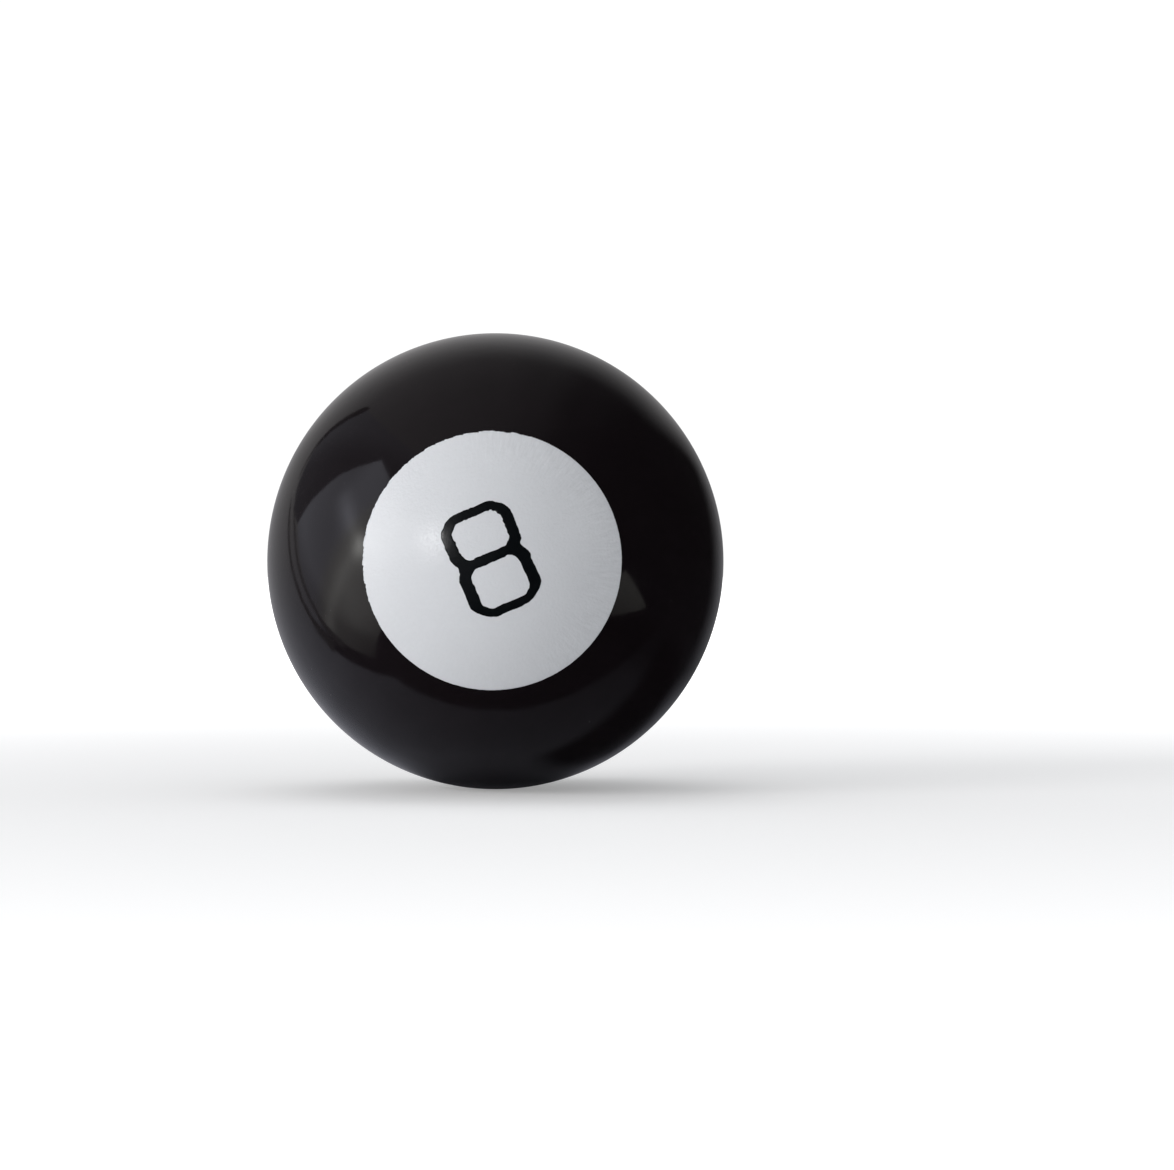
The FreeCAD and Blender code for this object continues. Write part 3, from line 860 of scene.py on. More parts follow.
def build_rear_shell():
    edge, angle = seam_edge(1)
    # the shoulder between the ball and the flat foot is one arc, tangent to both
    shoulder_y = FOOT_Y - SHOULDER_ROUNDING
    shoulder_r = math.sqrt((BALL_R - SHOULDER_ROUNDING) ** 2 - shoulder_y**2)
    end = math.degrees(math.atan2(shoulder_y, shoulder_r))
    outer = meridian(BALL_R, angle, end, OUTER_STEP, tight=SEAM_STEPS)[1:]
    shoulder = arc(
        (shoulder_r, shoulder_y), SHOULDER_ROUNDING, math.radians(end), math.pi / 2,
        steps=6, first=1,
    )
    collar_top_y = math.sqrt(INSIDE_R**2 - COLLAR_R**2)
    collar_angle = math.degrees(math.atan2(collar_top_y, COLLAR_R))
    inner = meridian(INSIDE_R, collar_angle, 0.0, INNER_STEP)
    path = edge + outer + shoulder + opening_profile() + inner + soften(GROOVE, 3)
    wall = lathe_object("rear_shell_wall", clean(path))
    parts = [side_rib(*SIDE_RIB_Y, angle) for angle in RIB_ANGLES]
    return union(wall, parts, "rear_shell_visual")


# ---- printed spot ----------------------------------------------------------------------------

SPOT_POINTS = 1536  # around the rim
SPOT_BASE_R = BALL_R - 0.004  # the layer is sunk slightly into the shell
SPOT_RIM_INSET = 0.035
# Rings as shares of the way out to the rim
SPOT_TOP_RINGS = np.linspace(0.02, 0.90, 34).tolist() + [0.93, 0.955, 0.972, 0.984, 0.991]
SPOT_UNDER_RINGS = (0.985, 0.95, 0.90, 0.84, 0.76, 0.66, 0.55, 0.44, 0.33, 0.22, 0.12, 0.05)


def saw_teeth(rng, narrow, wide, lowest):
    """Irregular teeth round the rim, 0..1: each one grows slowly and drops back fast."""
    out = np.zeros(SPOT_POINTS)
    start = 0.0
    while start < SPOT_POINTS:
        width = rng.uniform(narrow, wide)
        height = rng.uniform(lowest, 1.0)
        for i in range(int(start), int(min(SPOT_POINTS, start + width))):
            t = (i - start) / width
            out[i] = height * (t / 0.92 if t < 0.92 else (1.0 - t) / 0.08)
        start += width
    out = (np.roll(out, 1) + 5 * out + np.roll(out, -1)) / 7
    # the last stretch eases into the first point
    blend = 24
    for i in range(blend):
        weight = (i + 1) / (blend + 1)
        k = SPOT_POINTS - blend + i
        out[k] = out[k] * (1 - weight) + out[0] * weight
    return out


def spot_rim(turns):
    """The rim's radius at each turn about Y, measured from +Z (top) towards +X."""
    rng = np.random.RandomState(8)
    big = saw_teeth(rng, 20, 40, 0.25)
    small = saw_teeth(rng, 5, 13, 0.0)
    fine = rng.uniform(-1, 1, SPOT_POINTS)
    fine = (fine + np.roll(fine, 1) + np.roll(fine, -1)) / 3
    # the teeth are strongest from nine o'clock to just past twelve
    middle, half_width, fade = math.radians(-48), math.radians(56), 0.35
    away = np.abs((turns - middle + np.pi) % (2 * np.pi) - np.pi)
    t = np.clip((half_width + fade - away) / fade, 0, 1)
    strength = 0.14 + 0.86 * (t * t * (3 - 2 * t))
    rim = SPOT_R - 0.014 - (0.090 * big + 0.075 * small) * strength
    rim = rim + 0.018 * fine * (0.4 + 0.6 * strength)
    return np.minimum(rim, SPOT_R - 0.001)


def build_spot():
    """The white spot: a thin closed layer whose rim is finely stepped, as a screened print's."""
    full, least = SPOT_POINTS, SPOT_POINTS // 32
    turns = 2 * np.pi * np.arange(full) / full
    top = BALL_R + SPOT_LAYER
    rim_tilts = np.arcsin(spot_rim(turns) / BALL_R)  # angles from the -Y axis
    mean_tilt = float(rim_tilts.mean())
    points, rings = [(0.0, -top, 0.0)], [[0]]

    def add_ring(radius, tilts):
        start, step = len(points), full // len(tilts)
        for tilt, turn in zip(tilts, turns[::step]):
            out = radius * math.sin(tilt)
            y = -radius * math.cos(tilt)
            points.append((out * math.sin(turn), y, out * math.cos(turn)))
        rings.append(list(range(start, len(points))))

    count = least
    for share in SPOT_TOP_RINGS:
        wanted = ring_count(BALL_R * math.sin(mean_tilt * share), full, SPOT_LIMITS)
        count = min(wanted, count * 2)
        follow = max(0.0, (share - 0.80) / 0.20) ** 1.5  # outer rings follow the rim
        rim = rim_tilts[:: full // count]
        add_ring(top, mean_tilt * share * (1 - follow) + rim * share * follow)
    # rounded rim: from the top face over the edge down to the shell
    for k in range(1, 6):
        t = math.pi / 2 * k / 5
        inset = SPOT_RIM_INSET * (1 - math.sin(t)) / BALL_R
        add_ring(top - SPOT_LAYER * (1 - math.cos(t)) * 0.75, rim_tilts - inset)
    add_ring(SPOT_BASE_R, rim_tilts)
    count = full
    for share in SPOT_UNDER_RINGS:
        count = max(least, count // 2 if share < 0.96 else count)
        rim = rim_tilts[:: full // count]
        add_ring(SPOT_BASE_R, rim * share if share > 0.9 else np.full(count, mean_tilt * share))
    points.append((0.0, -SPOT_BASE_R, 0.0))
    rings.append([len(points) - 1])
    faces = []
    for ring, following in zip(rings[:-1], rings[1:]):
        faces += bridge(ring, following)
    return make_solid("number_disc_visual", points, faces, sharp=50.0)


# ---- figure eight ----------------------------------------------------------------------------

# Right halves of the upright figure's outlines: x, z
FIGURE_OUTER = [
    (1.60, 4.40), (2.12, 4.13), (2.78, 3.47), (2.93, 3.15), (2.93, 1.05), (2.86, 0.84),
    (2.62, 0.46), (2.60, 0.24), (2.97, -0.46), (2.98, -2.95), (2.80, -3.27), (1.98, -3.96),
    (1.42, -4.22),
]
FIGURE_UPPER = [(1.50, 3.68), (2.04, 3.02), (2.04, 1.10), (1.56, 0.63)]
FIGURE_LOWER = [(1.55, -0.16), (2.02, -0.66), (2.02, -3.00), (1.46, -3.53)]
FIGURE_TILT = math.radians(-23.3)  # anticlockwise as seen from the front
FIGURE_CELL = 0.05
FIGURE_EXTENT = (3.35, 4.75)  # half width and half height of the grid
INK_BEVEL = 0.11  # width over which the ink rises from its edge


def polygon_distance(px, pz, points):
    """Signed distance to a closed polygon, negative inside."""
    squared = np.full(px.shape, 1e9)
    inside = np.zeros(px.shape, dtype=bool)
    for (x0, z0), (x1, z1) in zip(points, points[1:] + points[:1]):
        run, rise = x1 - x0, z1 - z0
        dx, dz = px - x0, pz - z0
        t = np.clip((dx * run + dz * rise) / (run * run + rise * rise), 0, 1)
        squared = np.minimum(squared, (dx - run * t) ** 2 + (dz - rise * t) ** 2)
        crosses = (z0 > pz) != (z1 > pz)
        cross_x = x0 + (pz - z0) * run / (rise if rise != 0 else 1e-12)
        inside ^= crosses & (px < cross_x)
    return np.where(inside, -1.0, 1.0) * np.sqrt(squared)


def blurred(field, radius):
    """A light blur of the field, which rounds every corner of its zero line."""
    n = max(1, int(round(radius / FIGURE_CELL)))
    kernel = np.exp(-0.5 * (np.arange(-2 * n, 2 * n + 1) / n) ** 2)
    kernel /= kernel.sum()
    for axis in (0, 1):
        pad = [(2 * n, 2 * n) if i == axis else (0, 0) for i in (0, 1)]
        wide = np.pad(field, pad, mode="edge")
        size = field.shape[axis]
        field = sum(
            kernel[i] * np.take(wide, np.arange(i, i + size), axis=axis)
            for i in range(4 * n + 1)
        )
    return field


def noise_at(x, z, scale, layer):
    return noise.noise(Vector((x * scale, z * scale, layer)))


def figure_field(xs, zs):
    """Signed distance to the inked figure's uneven edge over the grid, negative in the ink."""
    px, pz = np.meshgrid(xs, zs, indexing="ij")

    def outline(half, radius):
        points = half + [(-x, z) for x, z in reversed(half)]
        return blurred(polygon_distance(px, pz, points), radius)

    outer = outline(FIGURE_OUTER, 0.14)
    upper = outline(FIGURE_UPPER, 0.15)
    lower = outline(FIGURE_LOWER, 0.18)

    def ripple(x, z):
        return noise_at(x, z, 1.7, 6.6) * 0.055 + noise_at(x, z, 3.7, 2.4) * 0.040

    wobble = np.array([[ripple(x, z) for z in zs] for x in xs])
    # a few small nicks and blobs in patches near the edges, mostly in the upper part
    reach = 0.4
    for i, x in enumerate(xs):
        for j, z in enumerate(zs):
            if min(abs(field[i, j]) for field in (outer, upper, lower)) < reach:
                patch = min(1.0, max(0.0, (noise_at(x, z, 0.8, 7.3) + 0.10) / 0.20))
                height = min(1.0, max(0.12, (z + 1.4) / 1.2))
                wobble[i, j] += noise_at(x, z, 4.6, 11.3) * 0.085 * patch * height
    return np.maximum(outer, -np.minimum(upper, lower)) + wobble


def inked_cells(xs, zs, field):
    """The part of the grid inside the zero line, as points, their depths and polygons."""
    places = np.stack(np.meshgrid(xs, zs, indexing="ij"), -1)
    # grid points close to the line move onto it, which avoids slivers
    slope_x, slope_z = np.gradient(field, FIGURE_CELL)
    near = np.abs(field) < 0.36 * FIGURE_CELL
    steepness = slope_x * slope_x + slope_z * slope_z + 1e-9
    places[near, 0] -= (field * slope_x / steepness)[near]
    places[near, 1] -= (field * slope_z / steepness)[near]
    field = np.where(near, 0.0, field)
    numbers, points, depths = {}, [], []

    def grid_vertex(cell):
        if cell not in numbers:
            numbers[cell] = len(points)
            points.append(tuple(places[cell]))
            depths.append(min(0.0, field[cell]))
        return numbers[cell]

    def edge_vertex(a, b):
        key = (min(a, b), max(a, b))
        if key not in numbers:
            t = field[a] / (field[a] - field[b])
            numbers[key] = len(points)
            points.append(tuple(places[a] + (places[b] - places[a]) * t))
            depths.append(0.0)
        return numbers[key]

    polygons = []
    for i in range(len(xs) - 1):
        for j in range(len(zs) - 1):
            corners = [(i, j), (i + 1, j), (i + 1, j + 1), (i, j + 1)]
            if min(field[corner] for corner in corners) >= 0:
                continue
            polygon = []
            for a, b in zip(corners, corners[1:] + corners[:1]):
                if field[a] <= 0:
                    polygon.append(grid_vertex(a))
                if field[a] < 0 < field[b] or field[b] < 0 < field[a]:
                    polygon.append(edge_vertex(a, b))
            if len(polygon) >= 3:
                polygons.append(polygon)
    return points, depths, polygons


def build_numeral():
    """The figure: two loops with cut corners, as a thin raised layer of ink on the spot."""
    nx, nz = (int(extent / FIGURE_CELL) for extent in FIGURE_EXTENT)
    xs = np.arange(-nx, nx + 1) * FIGURE_CELL
    zs = np.arange(-nz, nz + 1) * FIGURE_CELL
    flat, depths, polygons = inked_cells(xs, zs, figure_field(xs, zs))
    base_r = BALL_R + SPOT_LAYER
    cos_tilt, sin_tilt = math.cos(FIGURE_TILT), math.sin(FIGURE_TILT)

    def on_ball(p, radius):
        x = p[0] * cos_tilt + p[1] * sin_tilt
        z = -p[0] * sin_tilt + p[1] * cos_tilt
        return (x, -math.sqrt(radius * radius - x * x - z * z), z)

    points = []
    for p, depth in zip(flat, depths):
        t = min(1.0, -depth / INK_BEVEL)
        rise = 0.008 + 0.020 * math.sqrt(1 - (1 - t) ** 2)
        rise += 0.0018 * noise_at(p[0], p[1], 3.0, 1.7)
        points.append(on_ball(p, base_r + min(rise, INK_LAYER)))
    points += [on_ball(p, base_r - 0.003) for p in flat]
    n = len(flat)
    faces = [tuple(f) for f in polygons]
    faces += [tuple(reversed([i + n for i in f])) for f in polygons]
    # a wall under every edge that belongs to one polygon only
    edges = dict.fromkeys(
        (f[k], f[(k + 1) % len(f)]) for f in polygons for k in range(len(f))
    )
    faces += [(b, a, a + n, b + n) for a, b in edges if (b, a) not in edges]
    return make_solid("numeral_eight_visual", points, faces, sharp=50.0)


# ---- vial and filling ------------------------------------------------------------------------

FACE_INSIDE_Y = 14.20
NECK_BORE_R, NECK_START_Y = 7.70, 12.20
BORE_R, BORE_END_Y = 11.30, 9.60
STEP_BORE_R, STEP_Y = 11.80, -1.30  # the wider bore at the vial's -Y end
VIAL_R = 13.0
FACE_R = 8.60
SHOULDER_Y = 12.70
FILLING_GAP = 0.05
# The cone that bounds the filling towards -Y, and the straight pocket at its middle
CONE_INNER_R, CONE_INNER_Y = 1.90, -5.90
CONE_OUTER_R, CONE_OUTER_Y = 11.20, -1.35
POCKET_Y = -8.0


def build_vial():
    path = [  # r, y, rounding
        (0.0, FACE_Y, 0.0),
        (FACE_R, FACE_Y, 0.26),
        (FACE_R, SHOULDER_Y, 0.12),
        (10.30, SHOULDER_Y, 0.10),
        (VIAL_R, 10.20, 0.30),
        (VIAL_R, VIAL_END_Y, 0.10),
        (STEP_BORE_R, VIAL_END_Y, 0.10),
        (STEP_BORE_R, STEP_Y, 0.05),
        (BORE_R, STEP_Y, 0.08),
        (BORE_R, BORE_END_Y, 0.40),
        (NECK_BORE_R, NECK_START_Y, 0.30),
        (NECK_BORE_R, FACE_INSIDE_Y, 0.28),
        (0.0, FACE_INSIDE_Y, 0.0),
    ]
    return lathe_object("vial_cup_visual", clean(subdivided(soften(path, 5), 1.4)), 256)


def build_liquid():
    gap = FILLING_GAP
    slope = (CONE_OUTER_Y - CONE_INNER_Y) / (CONE_OUTER_R - CONE_INNER_R)
    lift = gap * math.sqrt(1 + slope * slope)
    r = BORE_R - gap
    pocket_r = CONE_INNER_R - gap
    front = FACE_INSIDE_Y - gap - 0.02
    path = [  # r, y, rounding
        (0.0, front, 0.0),
        (NECK_BORE_R - gap, front, 0.26),
        (NECK_BORE_R - gap, NECK_START_Y - gap, 0.30),
        (r, BORE_END_Y - gap, 0.40),
        (r, CONE_INNER_Y + (r - CONE_INNER_R) * slope + lift, 0.15),
        (pocket_r, CONE_INNER_Y + lift, 0.15),
        (pocket_r, POCKET_Y + gap, 0.05),
        (0.0, POCKET_Y + gap, 0.0),
    ]
    return lathe_object("dye_liquid_visual", clean(subdivided(soften(path, 4), 1.2)), 192)


# ---- pieces and their looks ------------------------------------------------------------------


def soften_cad(name, width_mm):
    """Small rounded edges on a CAD node's own mesh: joined corners first, then a bevel."""
    ob = nodes[name]
    weld = ob.modifiers.new("join", "WELD")
    weld.merge_threshold = 0.000002
    bevel = ob.modifiers.new("edge", "BEVEL")
    bevel.width = width_mm * MM
    bevel.segments = 2
    bevel.limit_method = "ANGLE"
    bevel.angle_limit = math.radians(30.0)
    bevel.harden_normals = False
    bevel.use_clamp_overlap = True


def dress_fine(ob, mat, body, node, slot):
    """Names a fine mesh, gives its material and lets it stand in for its CAD node."""
    ob.name = node + "_fine"
    ob.data.name = ob.name
    give(ob, mat)
    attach(ob, body)
    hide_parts(node)


shell_mat = black_shell_material()
front_shell = build_front_shell()
rear_shell = build_rear_shell()
spot = build_spot()
numeral = build_numeral()
vial = build_vial()
liquid = build_liquid()

for piece in (
    (front_shell, shell_mat, "ball", "front_shell", "black_shell"),
    (rear_shell, shell_mat, "ball", "rear_shell", "black_shell"),
    (spot, white_print_material(), "ball", "number_disc", "white_print"),
    (numeral, black_print_material(), "ball", "numeral_eight", "black_print"),
    (vial, clear_material(), "ball", "vial_cup", "clear_plastic"),
    (liquid, liquid_material(), "filling", "dye_liquid", "dyed_liquid"),
):
    dress_fine(*piece)

die_mat, seal_mat, cap_mat = die_material(), rubber_material(), cap_material()
for name, mat in (
    ("die_front_half", die_mat),
    ("die_back_half", die_mat),
    ("window_gasket", seal_mat),
    ("cap_seal", seal_mat),
    ("plug_seal", seal_mat),
    ("vial_cap", cap_mat),
    ("filler_plug", cap_mat),
    ("bubble_funnel", funnel_material()),
    ("vial_pad", foam_material()),
    ("seam_bond", cement_material()),
):
    give(nodes[name], mat)

for name, width_mm in (
    ("die_front_half", 0.07),
    ("die_back_half", 0.07),
    ("window_gasket", 0.05),
    ("vial_cap", 0.08),
    ("filler_plug", 0.08),
    ("bubble_funnel", 0.06),
):
    soften_cad(name, width_mm)


# ---- surroundings seen in the gloss ----------------------------------------------------------

# Brightness round the view axis: degrees from right (0) through up (90), left and down, value.
# Light from all round:
AROUND = [
    (0, 0.008), (45, 0.010), (62, 0.035), (75, 0.100), (90, 0.145), (105, 0.180),
    (120, 0.205), (137, 0.225), (152, 0.265), (165, 0.310), (195, 0.330), (212, 0.320),
    (225, 0.262), (240, 0.200), (255, 0.155), (270, 0.124), (285, 0.104), (300, 0.090),
    (315, 0.068), (330, 0.018), (345, 0.010),
]
# Light added towards the rear:
REAR_GAIN = [
    (0, 0.19), (30, 0.21), (45, 0.31), (60, 0.27), (90, 0.30), (105, 0.27), (120, 0.25),
    (137, 0.18), (152, 0.08), (170, 0.02), (205, 0.02), (225, 0.08), (245, 0.07), (300, 0.04),
    (330, 0.07), (345, 0.13), (360, 0.19),
]
# The direction's y at which that light begins:
REAR_START = [
    (0, 0.74), (25, 0.78), (45, 0.52), (90, 0.46), (120, 0.42), (180, 0.50), (225, 0.62),
    (270, 0.66), (330, 0.72), (360, 0.74),
]


def by_degrees(g, turn, table):
    """A value looked up in a (degrees, value) table, where turn runs from 0 to 1."""
    value = g.node("ShaderNodeValToRGB", {0: turn})
    ramp = value.socket.node.color_ramp
    ramp.interpolation = "EASE"
    while len(ramp.elements) > 1:
        ramp.elements.remove(ramp.elements[-1])
    for i, (degrees, level) in enumerate(table):
        stop = ramp.elements.new(degrees / 360.0) if i else ramp.elements[0]
        stop.position = degrees / 360.0
        stop.color = (level, level, level, 1.0)
    return value


def surroundings(g, direction):
    """Brightness and colour that the gloss shows in each direction.

    Dark behind the camera and to the right, grey to the left, above and below, and lighter
    behind the ball.
    """
    x, y, z = g.split(direction)
    turn = g.math("FRACT", g.math("ARCTAN2", z, x) / (2 * math.pi) + 1.0)
    around = by_degrees(g, turn, AROUND)
    rear_gain = by_degrees(g, turn, REAR_GAIN)
    rear_start = by_degrees(g, turn, REAR_START)
    # below, a table: it begins at a curved near edge and, on the left, at a slanting one
    low = g.ease(z, over=(-0.44, -0.28), to=(1.0, 0.0))
    deep = g.maximum(0.0 - z, 0.05)
    across, away = x / deep, y / deep
    rightwards = g.maximum(across, 0.0)
    dimming = 0.90  # share of light lost beyond the table's edges
    curved = rightwards * rightwards * 0.11 - 0.188
    slanting = -0.814 - across * 0.72
    past_start = away - g.maximum(curved, slanting)
    before_it = g.ease(past_start, over=(-0.035, 0.035), to=(1.0, 0.0))
    near_edge = 1.0 - low * before_it * dimming
    # on the right it ends early, along a line y = 0.53 - 0.30 x
    end = 0.53 - x * 0.30
    beyond_it = g.ease(x, over=(0.10, 0.25)) * low * g.ease(y - end, over=(-0.08, 0.08))
    far_edge = 1.0 - beyond_it * dimming
    camera_side = g.ease(y, over=(-0.75, -0.40), to=(0.35, 1.0))
    uneven = 1.0 + g.noise(direction, scale=6.0).swing(0.16)
    light = around * near_edge * far_edge * camera_side * uneven
    light = light + rear_gain * g.ease(y, over=(rear_start, 0.98))
    height = g.ease(z, over=(-0.5, 0.3))
    return light, g.mix(height, (0.93, 0.95, 1.09), (1.0, 0.98, 0.99))


# ---- floor and world -------------------------------------------------------------------------

WHITE = (1.0, 1.0, 1.0)
FLOOR_Z = cad_lo.z
FLOOR_POINTS = 96  # around each ring
# Radii of the floor's rings, in metres
FLOOR_RINGS = {
    "floor_middle": [0.0, 0.004, 0.008, 0.0135],
    "floor": [0.0135, 0.02, 0.04, 0.08, 0.16, 0.32, 0.64, 1.3, 2.6, 6.0, 14.0, 40.0],
}


def floor_material():
    mat, g = material("pale_floor")
    x, y, _ = g.split(g.place())
    radius = g.length(x, y)
    ray_kinds = ("Is Camera Ray", "Is Glossy Ray")
    camera_ray, glossy_ray = g.outputs("ShaderNodeLightPath", {}, ray_kinds)
    matt = g.node("ShaderNodeBsdfDiffuse", {0: (0.86, 0.86, 0.865)})
    # seen by the camera: painted light, an emission that lifts the matt floor to paper white away
    # from the ball and is weaker near it, so the floor is painted darker round the ball
    lift = camera_ray * g.ease(radius, over=(0.02, 0.40), to=(0.30, 1.2))
    floor_with_painted_glow = g.node("ShaderNodeAddShader", {0: matt, 1: g.emission(WHITE, lift)})
    # seen in the ball: a painted reflection of the surroundings as a glow, with painted shadow
    # darkening it under the ball, and open beyond the middle
    incoming = g.node("ShaderNodeNewGeometry", {}, "Incoming")
    light, colour = surroundings(g, g.scaled(incoming, by=-1.0))
    # painted shadow: the reflection's glow falls to 0.12 of the surroundings close under the ball
    painted_shadow_under_ball = g.ease(radius, over=(0.0042, 0.0100), to=(0.12, 1.0))
    glow = g.emission(colour, light * painted_shadow_under_ball)
    is_open = g.ease(radius, over=(0.010, 0.013))
    painted_reflection = g.mix_shaders(is_open, glow, g.transparent(WHITE))
    g.surface(g.mix_shaders(glossy_ray, floor_with_painted_glow, painted_reflection))
    return mat


def build_floor():
    """One large pale sheet under the ball, finer near it. The ball mirrors only its middle, which
    glows with a painted reflection of the surroundings and a painted shadow under the ball.
    """
    mat = floor_material()
    n = FLOOR_POINTS
    for name, radii in FLOOR_RINGS.items():
        points, faces = [], []
        for r in radii:
            for k in range(n if r > 0 else 1):
                turn = 2 * math.pi * k / n
                points.append((r * math.cos(turn), r * math.sin(turn), FLOOR_Z))
        centre = 1 if radii[0] == 0.0 else 0
        if centre:
            faces += [(0, 1 + k, 1 + (k + 1) % n) for k in range(n)]
        for i in range(len(radii) - 1 - centre):
            near = centre + i * n
            far = near + n
            for k in range(n):
                j = (k + 1) % n
                faces.append((near + k, far + k, far + j, near + j))
        ob = add_mesh(name, points, faces)
        ob.data.materials.append(mat)
        ob.visible_glossy = name == "floor_middle"


def build_world():
    world = bpy.data.worlds.new("studio")
    scene.world = world
    world.use_nodes = True
    g = Graph(world.node_tree)
    direction = g.node("ShaderNodeTexCoord", {}, "Generated")
    light, colour = surroundings(g, direction)
    ray_kinds = ("Is Camera Ray", "Is Diffuse Ray")
    camera_ray, diffuse_ray = g.outputs("ShaderNodeLightPath", {}, ray_kinds)
    x, _, z = g.split(direction)
    # soft light on matt faces: a base, a little more from above and from the left
    soft = g.background((0.965, 0.98, 1.0), 0.42 + z * 0.06 - x * 0.10)
    lit = g.mix_shaders(diffuse_ray, g.background(colour, light), soft)
    seen = g.mix_shaders(camera_ray, lit, g.background(WHITE, 1.05))
    # smooth gloss: the surroundings are found by the reflected rays alone
    world.cycles.sampling_method = "NONE"
    out = g.tree.nodes.new("ShaderNodeOutputWorld")
    g.put(seen, out.inputs[0])


# ---- reflectors ------------------------------------------------------------------------------

CARD_DISTANCE = 3.0

# Outlines and centre lines of the left-hand reflectors on the plane x = -1: y, z
SOFTBOX = [
    (-0.60, 0.70), (-0.417, 0.813), (-0.235, 0.891), (0.561, 0.196), (0.540, 0.160),
    (0.496, 0.110), (0.430, 0.010), (0.278, -0.270), (0.213, -0.400), (0.039, -0.587),
    (-0.178, -0.804), (-0.426, -0.622), (-0.62, -0.50),
]
FLAG = [
    (0.816, 1.150), (0.375, 1.185), (0.0, 1.21), (-0.40, 1.29), (-0.95, 1.44), (-1.0, 0.60),
    (-0.30, 0.55), (0.561, 0.190), (0.78, 0.262), (0.93, 0.37), (1.02, 0.50), (1.08, 0.64),
    (1.07, 0.76), (1.00, 0.87), (0.92, 0.99),
]
# The dark line of the flag's far edge, then two dark bars below the flag, side by side.
# Name, distance, strength, and stations: y, z, half width in radians
STRIPS = [
    ("flag_edge", 2.9, 0.035, [
        (0.74, 1.20, 0.003), (0.79, 1.14, 0.022), (0.843, 1.087, 0.030),
        (0.92, 0.978, 0.024), (1.000, 0.860, 0.024), (1.070, 0.745, 0.027),
        (1.100, 0.64, 0.014), (1.085, 0.52, 0.008), (1.02, 0.41, 0.003),
    ]),
    ("bar_outer", 2.9, 0.095, [
        (1.02, 0.315, 0.004), (0.93, 0.262, 0.012), (0.843, 0.196, 0.016),
        (0.713, 0.087, 0.018), (0.539, -0.109, 0.018), (0.409, -0.283, 0.020),
        (0.330, -0.395, 0.026), (0.250, -0.53, 0.050),
    ]),
    ("bar_inner", 2.88, 0.120, [
        (0.80, 0.272, 0.003), (0.70, 0.225, 0.009), (0.610, 0.165, 0.012),
        (0.539, 0.085, 0.014), (0.409, -0.087, 0.015), (0.300, -0.239, 0.017),
        (0.213, -0.400, 0.020), (0.10, -0.55, 0.030),
    ]),
]
# Corner directions of the right-hand reflectors
BOUNCE = [
    (0.934, -0.376, -0.064), (0.952, -0.072, -0.290), (0.835, -0.391, -0.397),
    (0.80, -0.60, -0.25),
]
FRONT_RIGHT = [(0.60, -0.79, 0.03), (0.86, -0.50, 0.03), (0.77, -0.46, 0.44), (0.55, -0.70, 0.46)]


def reflector(name, points, faces, shade):
    """A glowing sheet drawn only in the gloss. shade(g) gives its strength and colour."""
    ob = add_mesh(name, points, faces)
    mat, g = material(name)
    strength, colour = shade(g)
    g.surface(g.emission(colour, strength))
    ob.data.materials.append(mat)
    ob.visible_camera = False
    ob.visible_diffuse = False
    ob.visible_transmission = False
    ob.visible_volume_scatter = False
    ob.visible_shadow = False


def left_card(name, outline, distance, shade):
    corners = [tuple(Vector((-1.0, y, z)) * distance) for y, z in outline]
    reflector(name, corners, [tuple(range(len(corners)))], shade)


def right_card(name, directions, shade):
    corners = [tuple(Vector(d).normalized() * CARD_DISTANCE) for d in directions]
    reflector(name, corners, [tuple(range(len(corners)))], shade)


def strip(name, distance, strength, stations):
    """A narrow curved band on the left through a list of stations."""
    centre = [Vector((-1.0, y, z)).normalized() for y, z, _ in stations]
    last = len(centre) - 1
    points = []
    for i, p in enumerate(centre):
        forward = centre[min(last, i + 1)] - centre[max(0, i - 1)]
        offset = forward.cross(p).normalized() * stations[i][2]
        points.append(tuple((p + offset).normalized() * distance))
        points.append(tuple((p - offset).normalized() * distance))
    faces = [(2 * i, 2 * i + 2, 2 * i + 3, 2 * i + 1) for i in range(last)]
    reflector(name, points, faces, lambda g: (strength, WHITE))


def left_plane(g):
    """Where a point of a left-hand card lies on the plane x = -1, as y and z."""
    x, y, z = g.split(g.place())
    return y / -x, z / -x


def glow_along(g, y, z, start, end, width):
    """1 on the line between two (y, z) places, fading over a width."""
    run, rise = end[0] - start[0], end[1] - start[1]
    share = (y - start[0]) * run + (z - start[1]) * rise
    t = g.math("MULTIPLY", share, 1.0 / (run * run + rise * rise), clamp=True)
    off_y = y - start[0] - t * run
    off_z = z - start[1] - t * rise
    distance = g.length(off_y, off_z)
    return g.math("EXPONENT", -(distance * distance) / (width * width))


def softbox_shade(g):
    y, z = left_plane(g)
    # an even body, brighter towards the front and above, dimmer at its low and far sides
    front = g.ease(y, over=(-0.25, 0.05), to=(1.0, 0.0))
    body = 0.55 + front * g.ease(z, over=(-0.62, -0.25)) * 0.24
    body = body * g.ease(z, over=(-0.85, -0.38), to=(0.40, 1.0))
    light = body * g.ease(y - z, over=(0.20, 0.46), to=(1.0, 0.62))
    for start, end, width, strength in (
        ((-0.44, 0.10), (-0.37, 0.11), 0.095, 1.90),  # the hot spot
        ((-0.20, 0.28), (-0.06, 0.40), 0.095, 0.42),  # a second one, higher
        ((-0.36, 0.13), (-0.14, 0.33), 0.060, 0.25),  # the band joining them
        ((-0.36, 0.10), (0.15, -0.37), 0.060, 0.30),  # a narrow band falling to the rear
        ((-0.38, 0.06), (-0.16, -0.12), 0.16, 0.16),  # a wide one under it
    ):
        light = light + glow_along(g, y, z, start, end, width) * strength
    # the colour warms along a slant, towards the front and below
    slant = y * -0.9 - z * 0.8
    warm = g.ease(slant, over=(-0.10, 0.12))
    return light, g.mix(warm, (0.93, 0.95, 1.07), (1.0, 1.0, 0.96))


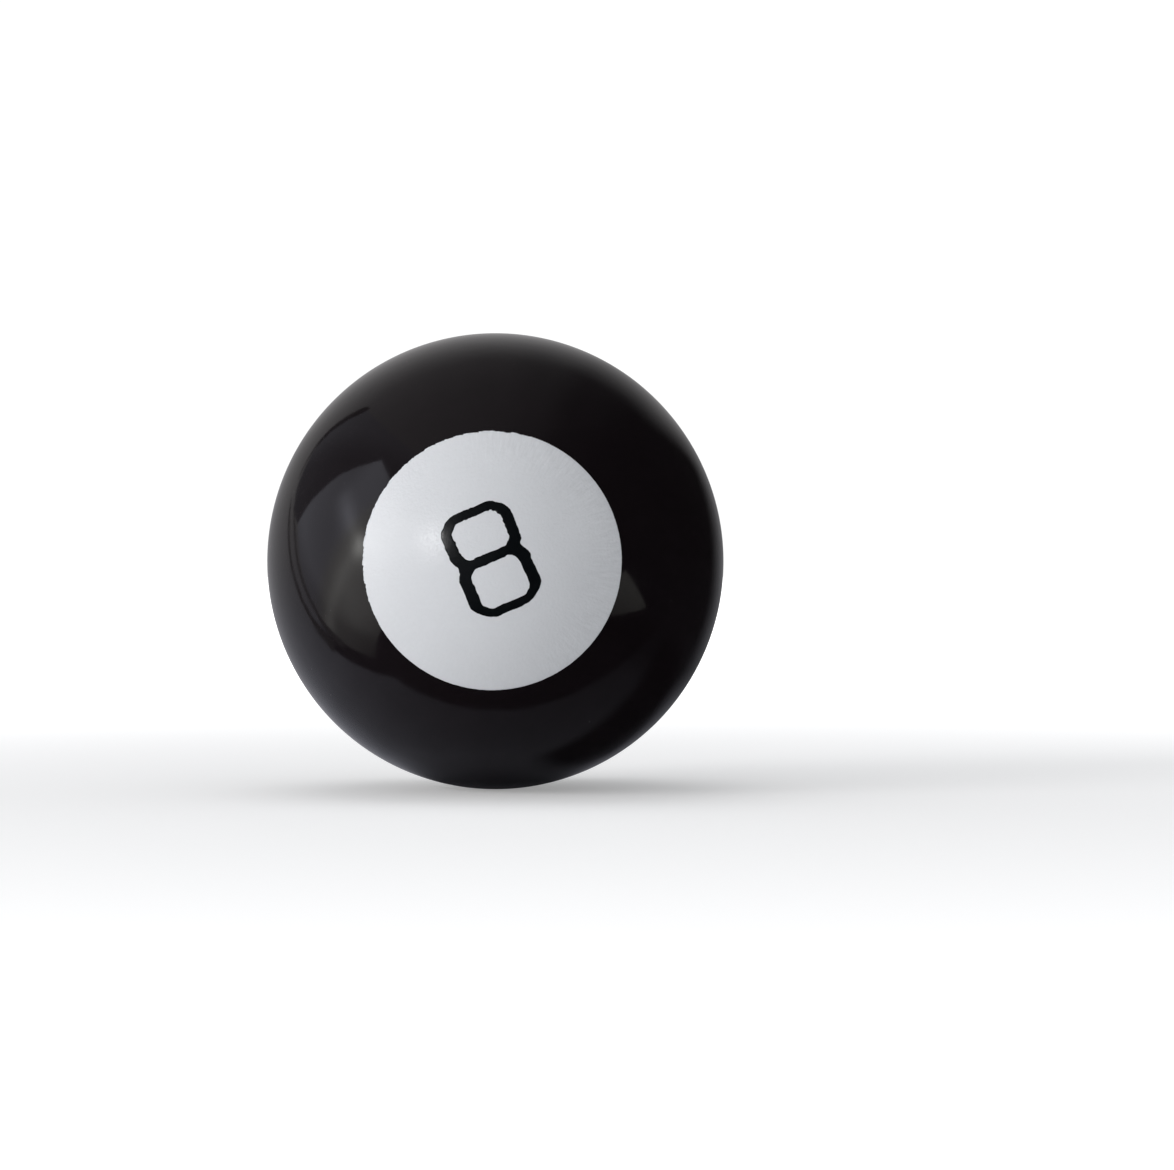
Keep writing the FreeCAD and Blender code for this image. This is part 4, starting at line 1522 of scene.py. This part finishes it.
def flag_shade(g):
    y, z = left_plane(g)
    dull, added_on_top = 0.098, 0.085
    height = z + y * 0.3
    return dull + g.ease(height, over=(0.70, 1.15)) * added_on_top, (0.96, 0.97, 1.08)


def bounce_shade(g):
    x, _, z = g.split(g.place())
    return g.ease(z / x, over=(-0.48, -0.10), to=(0.20, 0.36)), (1.0, 1.0, 0.93)


def front_right_shade(g):
    height = g.split(g.place())[2]
    return g.ease(height, over=(0.0, 1.5), to=(0.40, 0.78)), (1.0, 0.995, 0.985)


def build_reflectors():
    left_card("left_softbox", SOFTBOX, CARD_DISTANCE, softbox_shade)
    # the dull face of a flag above the softbox, a little further out
    left_card("left_flag", FLAG, 3.1, flag_shade)
    for entry in STRIPS:
        strip(*entry)
    right_card("right_bounce", BOUNCE, bounce_shade)
    # a soft panel, which gives the ball its shape from the other sides
    right_card("front_right_softbox", FRONT_RIGHT, front_right_shade)


# ---- lights ----------------------------------------------------------------------------------


def area(name, direction, distance, size, power, colour=WHITE, glossy=False, diffuse=True):
    """A round lamp in a direction from the ball, facing it. Lengths in metres, power in watts."""
    towards = Vector(direction).normalized()
    data = bpy.data.lights.new(name, "AREA")
    data.shape = "DISK"
    data.size = size
    data.energy = power
    data.color = colour
    data.spread = math.pi
    ob = bpy.data.objects.new(name, data)
    scene.collection.objects.link(ob)
    ob.location = towards * distance
    ob.rotation_mode = "QUATERNION"
    ob.rotation_quaternion = (-towards).to_track_quat("-Z", "Y")
    ob.visible_camera = False
    ob.visible_glossy = glossy
    ob.visible_diffuse = diffuse
    return ob


def build_lights():
    area(
        "window_light", direction=(-0.83, -0.50, 0.18), distance=0.9, size=0.55, power=4.6,
        colour=(1.0, 0.99, 0.985),
    )
    area("top_fill", direction=(-0.1, 0.25, 1.0), distance=1.0, size=0.7, power=1.2)
    # this small lamp only gives the print its sheen
    glow = area(
        "glow_light", direction=(-0.497, -0.850, 0.172), distance=0.7, size=0.044, power=0.43,
        glossy=True, diffuse=False,
    )
    printed = bpy.data.collections.new("printed_pieces")
    for ob in (spot, numeral):
        printed.objects.link(ob)
    glow.light_linking.receiver_collection = printed


# ---- camera ----------------------------------------------------------------------------------

CAMERA = Vector((0.0052, -0.2799, -0.0012))
SENSOR_WIDTH = 36.0
# The ball's image on the sensor, in millimetres from its middle: right, up, and its radius
IMAGE_RIGHT, IMAGE_UP = -2.79659284, 0.72674617
IMAGE_R = 6.99148211


def build_camera():
    lens = IMAGE_R * math.sqrt((CAMERA.length / (BALL_R * MM)) ** 2 - 1)
    data = bpy.data.cameras.new("camera")
    data.sensor_fit = "HORIZONTAL"
    data.sensor_width = SENSOR_WIDTH
    data.lens = lens
    data.clip_start, data.clip_end = 0.01, 100.0
    ob = bpy.data.objects.new("camera", data)
    scene.collection.objects.link(ob)
    scene.camera = ob
    ob.location = CAMERA
    # aimed at the ball, then turned so that the ball sits off the middle
    look = (-CAMERA).normalized().to_track_quat("-Z", "Y")
    seen_at = Vector((IMAGE_RIGHT, IMAGE_UP, -lens)).normalized()
    ob.rotation_mode = "QUATERNION"
    ob.rotation_quaternion = look @ seen_at.rotation_difference(Vector((0, 0, -1)))


build_world()
build_floor()
build_reflectors()
build_lights()
build_camera()

scene.view_settings.view_transform = "Standard"
scene.view_settings.look = "None"
scene.view_settings.exposure = 0.0
scene.view_settings.gamma = 1.0
